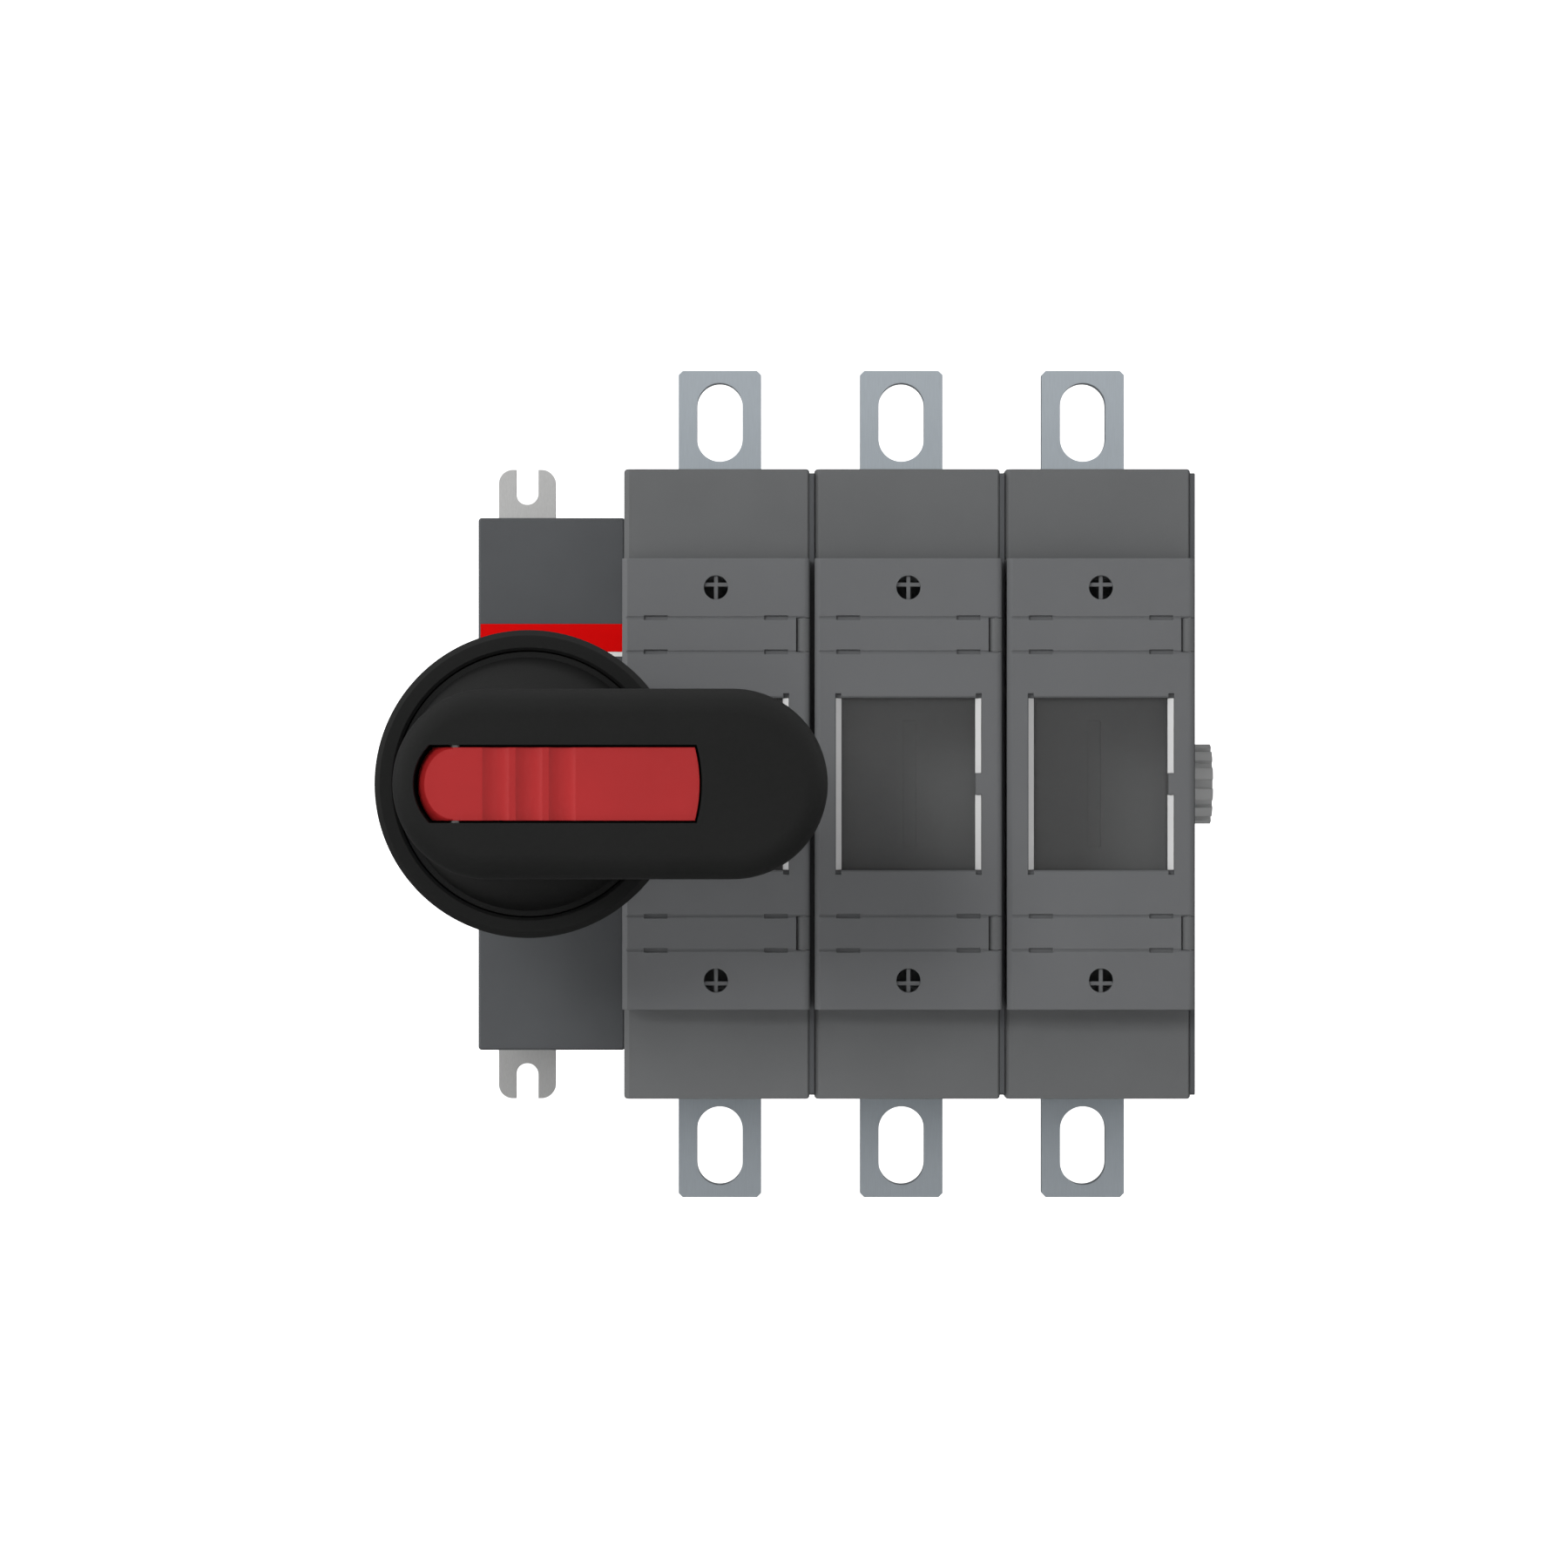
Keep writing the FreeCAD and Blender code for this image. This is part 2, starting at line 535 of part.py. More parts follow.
TEETH = 16
TOOTH_SHARE = 0.40  # tooth thickness at the pitch cone, as a share of the tooth spacing
ROOT_TURN = 6.0     # degrees from the pitch cone down to the root cone
TIP_TURN = 4.5      # degrees from the pitch cone up to the tip cone


def bevel_gear(name, hub_radius, hub_length, bore, turn):
    """Bevel gear on a square shaft. Its axis is its own +Z and the apex of its 45 degree pitch
    cone is its origin; turn is the share of a tooth spacing by which its teeth are turned."""
    gear = new_body(name)
    root = math.tan(math.radians(45 - ROOT_TURN))
    blank = sketch_on(gear, "XZ")
    polygon(blank, ("0", "gear_inner"), (f"gear_inner * {root}", "gear_inner"),
            (f"gear_outer * {root}", "gear_outer"), (hub_radius, "gear_outer"),
            (hub_radius, hub_length), ("0", hub_length))
    revolve(blank, "V_Axis")
    spacing = 360.0 / TEETH
    loft = gear.newObject("PartDesign::AdditiveLoft", f"{name}_tooth")
    profiles = []
    for height in ("gear_inner", "gear_outer"):
        section = sketch_on(gear, "XY", height)
        corners = []
        for side in (-1, 1):
            steps = ((-ROOT_TURN - 1.0, 0.72), (0.0, 0.5), (TIP_TURN, 0.27))
            row = []
            for lean, share in steps:
                reach = math.tan(math.radians(45 + lean))
                angle = math.radians(spacing * (turn + side * share * TOOTH_SHARE))
                row.append((f"{height} * {reach * math.cos(angle)}",
                            f"{height} * {reach * math.sin(angle)}"))
            corners += row if side < 0 else row[::-1]
        polygon(section, *corners)
        profiles.append(section)
    loft.Profile = profiles[0]
    loft.Sections = profiles[1:]
    loft.Ruled = True
    doc.recompute()
    ring = gear.newObject("PartDesign::PolarPattern", f"{name}_teeth")
    ring.Originals = [loft]
    ring.Axis = (blank, ["V_Axis"])
    ring.Angle = 360
    ring.Occurrences = TEETH
    gear.Tip = ring
    hole = sketch_on(gear, "XY", hub_length)
    half = f"({bore}) / 2"
    rectangle(hole, (f"-{half}", half), (f"-{half}", half))
    pocket(hole, hub_length)
    return node(name, gear)


def operating_train():
    """Square operating shaft with its gear, snap crank, spring and front bush."""
    side = "drive_square / 2"
    shaft = box("operating_shaft", (f"axis_right - {side}", f"axis_right + {side}"),
                ("-drive_shaft_depth", "-case_back - 2 * run_gap"), (f"-{side}", side))
    node("operating_shaft", shaft)

    gear = bevel_gear("drive_gear", "gear_hub_radius", "gear_hub_depth - shaft_depth",
                      "drive_square", 0.0)
    gear.Placement = FreeCAD.Placement(FreeCAD.Vector(),
                                       FreeCAD.Rotation(FreeCAD.Vector(1, 0, 0), 90))
    place(gear, "axis_right", "-shaft_depth", "0")

    bush = new_body("front_bush")
    profile = sketch_on(bush, "XY")
    inner = "gear_hub_radius + run_gap"
    polygon(profile, (inner, "-case_depth"), ("bush_radius", "-case_depth"),
            ("bush_radius", "-cover_depth"), ("bush_flange", "-cover_depth"),
            ("bush_flange", "-cover_depth - bush_flange_thickness"),
            (inner, "-cover_depth - bush_flange_thickness"))
    revolve(profile, "V_Axis")
    place(bush, "axis_right")
    node("front_bush", bush)

    crank = new_body("snap_crank")
    hub = sketch_on(crank, "XZ", "case_back + 2 * run_gap")
    circle(hub, "0", "0", "gear_hub_radius")
    pad(hub, "boss_depth - case_back")
    plate = sketch_on(crank, "XZ", "boss_depth + 2 * run_gap")
    reach = f"crank_reach * {math.sqrt(0.5)}"
    circle(plate, "0", "0", "boss_radius")
    pad(plate, "crank_thickness")
    arm = sketch_on(crank, "XZ", "boss_depth + 2 * run_gap")
    circle(arm, f"-{reach}", reach, "2 * crank_pin_radius")
    pad(arm, "crank_thickness")
    pin = sketch_on(crank, "XZ", "boss_depth + crank_thickness")
    circle(pin, f"-{reach}", reach, "crank_pin_radius")
    pad(pin, "crank_pin_depth - boss_depth - crank_thickness")
    bore = sketch_on(crank, "XZ", "crank_pin_depth")
    rectangle(bore, (f"-{side}", side), (f"-{side}", side))
    pocket(bore, "crank_pin_depth")
    place(crank, "axis_right")
    node("snap_crank", crank)


def spring(name, radius, wire, turns, height):
    """A helical wire spring round its own +Z, from its own origin up."""
    path = doc.addObject("Part::Helix", f"{name}_path")
    bind(path, "Radius", radius)
    bind(path, "Pitch", f"({height}) / ({turns})")
    bind(path, "Height", height)
    section = doc.addObject("Part::Circle", f"{name}_section")
    bind(section, "Radius", wire)
    section.Placement = FreeCAD.Placement(FreeCAD.Vector(),
                                          FreeCAD.Rotation(FreeCAD.Vector(1, 0, 0), 90))
    place(section, radius)
    doc.recompute()
    coil = doc.addObject("Part::Sweep", name)
    coil.Sections = [section]
    coil.Spine = (path, [f"Edge{index + 1}" for index in range(len(path.Shape.Edges))])
    coil.Solid = True
    coil.Frenet = True
    return node(name, coil)


def snap_spring():
    """Compression spring from the crank pin, at rest up and to the left, to the case's post."""
    pin = FreeCAD.Vector(-number("crank_reach") * math.sqrt(0.5), 0,
                         number("crank_reach") * math.sqrt(0.5))
    post = FreeCAD.Vector(0, 0, number("anchor_height"))
    line = post - pin
    seat = "snap_wire_radius + 6 * run_gap"
    height = line.Length - number(f"crank_pin_radius + anchor_radius + 2 * ({seat})")
    coil = spring("snap_spring", "snap_coil_radius", "snap_wire_radius", "snap_turns", height)
    line.normalize()
    start = pin + line * number(f"crank_pin_radius + {seat}")
    depth = number("(boss_depth + crank_thickness + crank_pin_depth) / 2")
    spot = start + FreeCAD.Vector(number("axis_right"), -depth, 0)
    coil.Placement = FreeCAD.Placement(spot, FreeCAD.Rotation(FreeCAD.Vector(0, 0, 1), line))


# Handle: pistol grip with a round disc and hub, its collar, and the red lock lever.
def arc_rise(radius, half_chord):
    """How far an arc stands out from its chord."""
    return f"({radius} - sqrt(({radius}) ^ 2 - ({half_chord}) ^ 2))"


def rounded_outline(sketch, *corners):
    """A closed outline, counterclockwise. Each corner is x and y, and a radius after them makes
    the side to the next corner an arc that bulges outwards."""
    spots = [FreeCAD.Vector(number(corner[0]), number(corner[1]), 0) for corner in corners]
    sides = []
    for index, corner in enumerate(corners):
        start, end = spots[index], spots[(index + 1) % len(spots)]
        side = Part.LineSegment(start, end)
        if len(corner) == 3:
            size = number(corner[2])
            chord = end - start
            inwards = FreeCAD.Vector(-chord.y, chord.x, 0).normalize()
            centre = (start + end) / 2 + inwards * math.sqrt(size ** 2 - chord.Length ** 2 / 4)
            turns = [math.atan2(point.y - centre.y, point.x - centre.x) for point in (start, end)]
            side = Part.ArcOfCircle(Part.Circle(centre, FreeCAD.Vector(0, 0, 1), size), *turns)
        sides.append(sketch.addGeometry(side, False))
    for index, (side, corner) in enumerate(zip(sides, corners)):
        following = sides[(index + 1) % len(sides)]
        sketch.addConstraint(Sketcher.Constraint("Coincident", side, 2, following, 1))
        fix(sketch, "DistanceX", side, 1, corner[0])
        fix(sketch, "DistanceY", side, 1, corner[1])
        if len(corner) == 3:
            item = sketch.addConstraint(Sketcher.Constraint("Radius", side, number(corner[2])))
            bind(sketch, f"Constraints[{item}]", corner[2])
    return sketch


def lever_outline(sketch, right_end, gap, round_right):
    """The lock lever seen from the front, gap wider all round; x = 0 is the handle's axis.
    Its left end is an arc, and its right end is an arc where round_right is true."""
    half = f"(lever_half_width + {gap})"
    tail, tip = f"(lever_end_arc + {gap})", f"(lever_tip_arc + {gap})"
    left = f"(-lever_pivot - lever_tail_radius - {gap} + {arc_rise(tail, half)})"
    right = f"({right_end} - {arc_rise(tip, half)})" if round_right else right_end
    corner = (right, f"-{half}", tip) if round_right else (right, f"-{half}")
    return rounded_outline(sketch, (left, f"-{half}"), corner, (right, half), (left, half, tail))


def handle():
    """Grip, disc and hub moulded in one, with a recess for the lock lever."""
    grip = new_body("handle")
    clip_front = "(collar_depth - 2 * run_gap)"
    clip_back = f"({clip_front} - clip_thickness)"
    disc_back = "(collar_depth + collar_plate + collar_gap)"
    steps = (("hub_depth", clip_back, "hub_radius"),
             (clip_back, clip_front, "clip_groove_radius"),
             (clip_front, disc_back, "hub_radius"),
             (disc_back, "disc_top_depth", "collar_radius - collar_rim - collar_gap"))
    for back, front, radius in steps:
        step = sketch_on(grip, "XZ", back)
        circle(step, "0", "0", radius)
        pad(step, f"{front} - {back}")
    disc_front = sketch_on(grip, "XZ", "disc_top_depth")
    circle(disc_front, "0", "0", "collar_radius - collar_rim - collar_gap - edge_bevel")
    flare_front = sketch_on(grip, "XZ", "flare_depth")
    circle(flare_front, "-flare_shift", "0", "grip_half_width - edge_bevel")
    flare = grip.newObject("PartDesign::AdditiveLoft", "handle_flare")
    flare.Profile = disc_front
    flare.Sections = [flare_front]
    doc.recompute()
    outline = sketch_on(grip, "XZ", "grip_under_depth")
    stadium(outline, ("grip_half_width - grip_tail", "grip_tip - grip_half_width"), "0",
            "grip_half_width")
    pad(outline, "grip_depth - grip_under_depth")
    front = -number("grip_depth")
    dress(grip, "Fillet", "grip_round", lambda edge: edge_at(edge, y=front))
    back = -number("grip_under_depth")
    dress(grip, "Fillet", "grip_round / 2", lambda edge: edge_at(edge, y=back)
          and edge.BoundBox.XMax > number("grip_half_width") + 0.01)

    floor = "(lever_front - lever_thickness - lever_gap)"
    well = f"({PIVOT_DEPTH} - lever_tail_radius - lever_gap)"
    for right_end, bottom in (("lever_tip + lever_gap", floor),
                              ("lever_tail_radius + lever_gap - lever_pivot", well)):
        recess = sketch_on(grip, "XZ", "grip_depth")
        lever_outline(recess, right_end, "lever_gap", bottom == floor)
        pocket(recess, f"grip_depth - {bottom}")

    hollow = sketch_on(grip, "XZ", f"{floor} - grip_wall")
    stadium(hollow, ("grip_hollow_start", "grip_tip - grip_half_width"), "0",
            "grip_half_width - grip_wall")
    pocket(hollow, f"{floor} - grip_wall - grip_under_depth")
    bore = sketch_on(grip, "XZ", "drive_shaft_depth")
    rectangle(bore, ("-drive_square / 2", "drive_square / 2"),
              ("-drive_square / 2", "drive_square / 2"))
    pocket(bore, "drive_shaft_depth - hub_depth")
    screw_hole = sketch_on(grip, "XY", "hub_radius")
    circle(screw_hole, "0", "-set_screw_depth", "set_screw_radius")
    pocket(screw_hole, "hub_radius - drive_square / 2")
    pin_hole = sketch_on(grip, "XY", "lever_pin_half_length")
    circle(pin_hole, "-lever_pivot", f"-{PIVOT_DEPTH}", "lever_pin_radius")
    pocket(pin_hole, "lever_pin_half_length + grip_half_width")
    place(grip, "axis_right")
    return node("handle", grip)


def handle_fittings():
    """Door collar, its retaining ring, the set screw and the lock lever's pin."""
    collar = new_body("handle_collar")
    profile = sketch_on(collar, "XY")
    bore = "hub_radius + run_gap"
    back = "-collar_depth"
    front = "-(collar_depth + collar_height)"
    inner = "(collar_radius - collar_rim)"
    polygon(profile, (bore, back), ("collar_radius - edge_bevel", back),
            ("collar_radius", f"{back} - edge_bevel"), ("collar_radius", f"{front} + edge_bevel"),
            ("collar_radius - edge_bevel", front), (f"{inner} + edge_bevel / 2", front),
            (inner, f"{front} + edge_bevel / 2"), (inner, f"{back} - collar_plate"),
            (bore, f"{back} - collar_plate"))
    revolve(profile, "V_Axis")
    place(collar, "axis_right")
    node("handle_collar", collar)

    front = "-(collar_depth - 2 * run_gap)"
    centre = ("axis_right", "0")
    back = f"{front} + clip_thickness"
    ring = cut("collar_clip",
               rod("clip_blank", "Y", "clip_radius", front, back, centre),
               rod("clip_bore", "Y", "clip_groove_radius", front, back, centre),
               box("clip_opening", ("axis_right - clip_groove_radius / 2",
                                    "axis_right + clip_groove_radius / 2"),
                   (front, back), ("-2 * clip_radius", "0")))
    node("collar_clip", ring)

    centre = ("axis_right", "-set_screw_depth")
    screw = cut("shaft_set_screw",
                rod("screw_blank", "Z", "set_screw_radius", "drive_square / 2", "hub_radius", centre),
                box("screw_slot", ("axis_right - set_screw_radius", "axis_right + set_screw_radius"),
                    ("-set_screw_depth - set_screw_radius / 5", "-set_screw_depth + set_screw_radius / 5"),
                    ("hub_radius - set_screw_radius / 2", "hub_radius")))
    node("shaft_set_screw", screw)

    node("lever_pin", rod("lever_pin", "Z", "lever_pin_radius", "-lever_pin_half_length",
                          "lever_pin_half_length", ("axis_right - lever_pivot", f"-{PIVOT_DEPTH}")))
    height = "2 * return_half_slot - 2 * return_wire_radius - 4 * run_gap"
    coil = spring("lever_spring", "return_coil_radius", "return_wire_radius", "return_turns", height)
    place(coil, "axis_right - lever_pivot", f"-{PIVOT_DEPTH}", f"-({height}) / 2")


LEVER_GROOVES = 3


def lock_lever():
    """Red lever with a barrel-shaped tail about its pin, scooped thumb grooves and a spring slot."""
    pivot = "(axis_right - lever_pivot)"
    back = f"(-{PIVOT_DEPTH} + lever_tail_radius)"
    width = ("-lever_half_width", "lever_half_width")
    bar = box("lever_bar", (pivot, "axis_right + lever_tip"),
              ("-lever_front", "-lever_front + lever_thickness"), width)
    bar_round = rod("lever_bar_round", "Y", "lever_tip_arc", "-lever_front",
                    "-lever_front + lever_thickness", ("axis_right + lever_tip - lever_tip_arc", "0"))
    barrel = new_body("lever_barrel")
    outline = sketch_on(barrel, "XZ")
    end = f"(lever_tail_radius - {arc_rise('lever_end_arc', 'lever_half_width')})"
    rounded_outline(outline, ("0", width[0]), (end, width[0], "lever_end_arc"), (end, width[1]),
                    ("0", width[1]))
    revolve(outline, "V_Axis")
    place(barrel, pivot, f"-{PIVOT_DEPTH}")
    behind_front = box("lever_limits", (f"{pivot} - lever_tail_radius", f"{pivot} + lever_tail_radius"),
                       ("-lever_front", back), width)
    blank = fuse("lever_blank", common("lever_rounded_bar", bar, bar_round),
                 common("lever_tail", barrel, behind_front))

    scoop = "((tooth_width ^ 2 / 4 + tooth_sink ^ 2) / (2 * tooth_sink))"
    grooves = [rod(f"lever_groove_{index}", "Z", scoop, *width,
                   (f"axis_right + tooth_first + {index} * tooth_pitch",
                    f"-(lever_front - tooth_sink + {scoop})"))
               for index in range(LEVER_GROOVES)]
    slot = "(return_coil_radius + 2 * return_wire_radius)"
    lever = cut("lock_lever", blank, *grooves,
                rod("lever_pin_bore", "Z", "lever_pin_radius + run_gap", *width,
                    (pivot, f"-{PIVOT_DEPTH}")),
                box("lever_spring_slot", (f"{pivot} - {slot}", f"{pivot} + {slot}"),
                    (f"-{PIVOT_DEPTH} - {slot}", back), ("-return_half_slot", "return_half_slot")))
    return node("lock_lever", lever)


# Contact shaft and the rods that clamp the modules together.
def contact_shaft():
    """Square shaft through the rotors, its ribbed end cap, and the tie rods with their nuts."""
    last = f"({POLE_LEFT} + {POLES} * pole_pitch)"
    side = "shaft_square / 2"
    cap_start = f"({last} + cap_gap)"
    shaft = box("contact_shaft", ("axis_right + gear_inner + cap_gap",
                                  f"{cap_start} + cap_length - lid_wall"),
                (f"-shaft_depth - {side}", f"-shaft_depth + {side}"), (f"-{side}", side))
    node("contact_shaft", shaft)

    cap = new_body("shaft_end_cap")
    outline = sketch_on(cap, "YZ")
    circle(outline, "0", "0", "cap_radius")
    pad(outline, "cap_length")
    rib = sketch_on(cap, "YZ", "cap_length")
    rectangle(rib, ("cap_radius - cap_groove_sink", "cap_radius + cap_groove_sink"),
              ("-cap_groove_width / 2", "cap_groove_width / 2"))
    groove = pocket(rib, "cap_length - lid_wall")
    doc.recompute()
    ring = cap.newObject("PartDesign::PolarPattern", "cap_grooves")
    ring.Originals = [groove]
    ring.Axis = (rib, ["N_Axis"])
    ring.Angle = 360
    ring.Occurrences = CAP_GROOVES
    cap.Tip = ring
    bore = sketch_on(cap, "YZ", "cap_length - lid_wall")
    rectangle(bore, (f"-{side}", side), (f"-{side}", side))
    pocket(bore, "cap_length")
    place(cap, cap_start, "-shaft_depth")
    node("shaft_end_cap", cap)

    spot = ("-rod_depth", "rod_height")
    head = rod("rod_head", "X", "rod_head_radius", "case_left - rod_head_length", "case_left", spot)
    stem = rod("rod_stem", "X", "rod_radius", "case_left", f"{last} + nut_length", spot)
    upper = fuse("upper_rod", head, stem)
    node("tie_rods", fuse("tie_rods", upper, mirror_down("lower_rod", upper)))

    blank = doc.addObject("Part::Prism", "nut_blank")
    blank.Polygon = 6
    bind(blank, "Circumradius", "nut_radius")
    bind(blank, "Height", "nut_length")
    blank.Placement = FreeCAD.Placement(FreeCAD.Vector(),
                                        FreeCAD.Rotation(FreeCAD.Vector(0, 1, 0), 90))
    place(blank, last, *spot)
    nut = cut("upper_nut", blank,
              rod("nut_bore", "X", "rod_radius", last, f"{last} + nut_length", spot))
    node("tie_rod_nuts", fuse("tie_rod_nuts", nut, mirror_down("lower_nut", nut)))


# Poles. Each piece is drawn with x = 0 at its pole's left side and then placed by its pole.
def pole_base(prefix):
    """Rear moulding of a pole: a tray with bearing slots, terminal openings and rod holes."""
    base = new_body(prefix + "base")
    outline = sketch_on(base, "XZ")
    rectangle(outline, ("0", "cover_width"), ("-pole_half_height", "pole_half_height"))
    pad(outline, "base_depth")
    joint = -number("base_depth")
    dress(base, "Fillet", "pole_corner", lambda edge: runs_along(edge, "Y"))
    dress(base, "Chamfer", "parting_bevel", lambda edge: edge_at(edge, y=joint))
    chamber = sketch_on(base, "XZ", "base_depth")
    rectangle(chamber, ("pole_wall", "cover_width - pole_wall"),
              ("-pole_half_height + pole_wall", "pole_half_height - pole_wall"))
    pocket(chamber, "base_depth - pole_wall")
    seat = "(journal_radius + run_gap)"
    slot = sketch_on(base, "YZ", "pole_pitch")
    rectangle(slot, ("-base_depth - pole_wall", "-shaft_depth"), (f"-{seat}", seat))
    pocket(slot, "pole_pitch")
    bottom = sketch_on(base, "YZ", "pole_pitch")
    circle(bottom, "-shaft_depth", "0", seat)
    pocket(bottom, "pole_pitch")
    rods = sketch_on(base, "YZ", "pole_pitch")
    for height in ("rod_height", "-rod_height"):
        circle(rods, "-rod_depth", height, "rod_radius + run_gap")
    pocket(rods, "pole_pitch")
    openings = sketch_on(base, "XY", "pole_half_height")
    reach = "(terminal_width / 2 + terminal_clearance)"
    rectangle(openings, (f"{MIDDLE} - {reach}", f"{MIDDLE} + {reach}"),
              ("-terminal_depth - terminal_thickness - terminal_clearance",
               "-terminal_depth + terminal_clearance"))
    pocket(openings, "2 * pole_half_height")
    recesses = sketch_on(base, "XZ", "back_sink")
    rib = "back_rib"
    for left, right in ((rib, f"{MIDDLE} - {rib} / 2"), (f"{MIDDLE} + {rib} / 2", f"cover_width - {rib}")):
        for low, high in (("2 * back_rib", "rod_height - 2 * rod_radius"),
                          ("rod_height + 2 * rod_radius", "pole_half_height - back_rib")):
            rectangle(recesses, (left, right), (low, high))
            rectangle(recesses, (left, right), (f"-({high})", f"-({low})"))
    pocket(recesses, "back_sink")
    return base


def pole_front(prefix):
    """Front moulding of a pole: terminal shrouds, fuse compartment, bearing tongues, hinge lugs."""
    front = new_body(prefix + "front")
    outline = sketch_on(front, "XZ", "base_depth")
    rectangle(outline, ("0", "cover_width"), ("-pole_half_height", "pole_half_height"))
    pad(outline, "shroud_depth - base_depth")
    joint = -number("base_depth")
    dress(front, "Fillet", "pole_corner", lambda edge: runs_along(edge, "Y"))
    dress(front, "Chamfer", "parting_bevel", lambda edge: edge_at(edge, y=joint))
    bevels = sketch_on(front, "XY", "pole_half_height")
    for edge, side, size in (("0", -1, "edge_bevel"), ("cover_width", 1, "edge_break")):
        outer = f"{edge} + {side} * {size}"
        polygon(bevels, (outer, f"-shroud_depth + 2 * {size}"),
                (f"{edge} - {side} * 2 * {size}", f"-shroud_depth - {size}"),
                (outer, f"-shroud_depth - {size}"))
    pocket(bevels, "2 * pole_half_height")
    compartment = sketch_on(front, "XZ", "shroud_depth")
    rectangle(compartment, ("compartment_side", "cover_width - compartment_side"),
              ("-compartment_half_height", "compartment_half_height"))
    pocket(compartment, f"shroud_depth - {FLOOR_FRONT}")
    shrouds = sketch_on(front, "XZ", "shroud_depth - pole_wall")
    for low, high in (("compartment_half_height + pole_wall", "pole_half_height - pole_wall"),
                      ("-pole_half_height + pole_wall", "-compartment_half_height - pole_wall")):
        rectangle(shrouds, ("compartment_side", "cover_width - compartment_side"), (low, high))
    pocket(shrouds, "shroud_depth - pole_wall - base_depth")
    floor = sketch_on(front, "XZ", FLOOR_FRONT)
    link = f"({MIDDLE} + terminal_width / 2)"
    for side in ("", "-"):
        middle = f"{side}link_height"
        half = "(jaw_foot / 2 + run_gap)"
        rectangle(floor, (f"{link} - {FORK_SPAN} - run_gap", f"{link} + run_gap"),
                  (f"{middle} - {half}", f"{middle} + {half}"))
    pocket(floor, "floor_thickness")
    guide = sketch_on(front, "XZ", FLOOR_FRONT)
    centre = f"({MIDDLE} + guide_shift)"
    rectangle(guide, (f"{centre} - guide_width / 2", f"{centre} + guide_width / 2"),
              ("-guide_length / 2", "guide_length / 2"))
    pocket(guide, "guide_sink")
    for start in ("0", "(cover_width - pole_wall)"):
        tongue = sketch_on(front, "YZ", start)
        rectangle(tongue, ("-base_depth", "-shaft_depth"), ("-journal_radius", "journal_radius"))
        pad(tongue, "pole_wall")
    saddle = sketch_on(front, "YZ", "pole_pitch")
    circle(saddle, "-shaft_depth", "0", "journal_radius + run_gap")
    pocket(saddle, "pole_pitch")
    for side in (1, -1):
        low, high = ("lug_low + lug_gap", "lug_high - lug_gap")
        low, high = (low, high) if side > 0 else (f"-({high})", f"-({low})")
        stem = sketch_on(front, "XZ", "shroud_depth")
        rectangle(stem, ("cover_width - 2 * hinge_inset", "cover_width"), (low, high))
        pad(stem, f"{PIN_DEPTH} - shroud_depth")
        nose = sketch_on(front, "XY", low)
        circle(nose, PIN_X, f"-{PIN_DEPTH}", "hinge_inset")
        pad(nose, f"{high} - ({low})")
    pins = sketch_on(front, "XY", "lug_high")
    circle(pins, PIN_X, f"-{PIN_DEPTH}", "hinge_pin_radius")
    pocket(pins, "2 * lug_high")
    return front


def side_plate(prefix):
    """Dark plate that closes a pole's right side and parts it from its neighbour."""
    plate = new_body(prefix + "side_plate")
    half = "(pole_half_height - plate_inset)"
    outline = sketch_on(plate, "YZ", "cover_width")
    rectangle(outline, ("-shroud_depth", "0"), (f"-{half}", half))
    pad(outline, "pole_pitch - cover_width")
    dress(plate, "Fillet", "pole_corner", lambda edge: runs_along(edge, "X"))
    bores = sketch_on(plate, "YZ", "pole_pitch")
    circle(bores, "-shaft_depth", "0", "journal_radius + run_gap")
    for height in ("rod_height", "-rod_height"):
        circle(bores, "-rod_depth", height, "rod_radius + run_gap")
    pocket(bores, "pole_pitch - cover_width")
    return plate


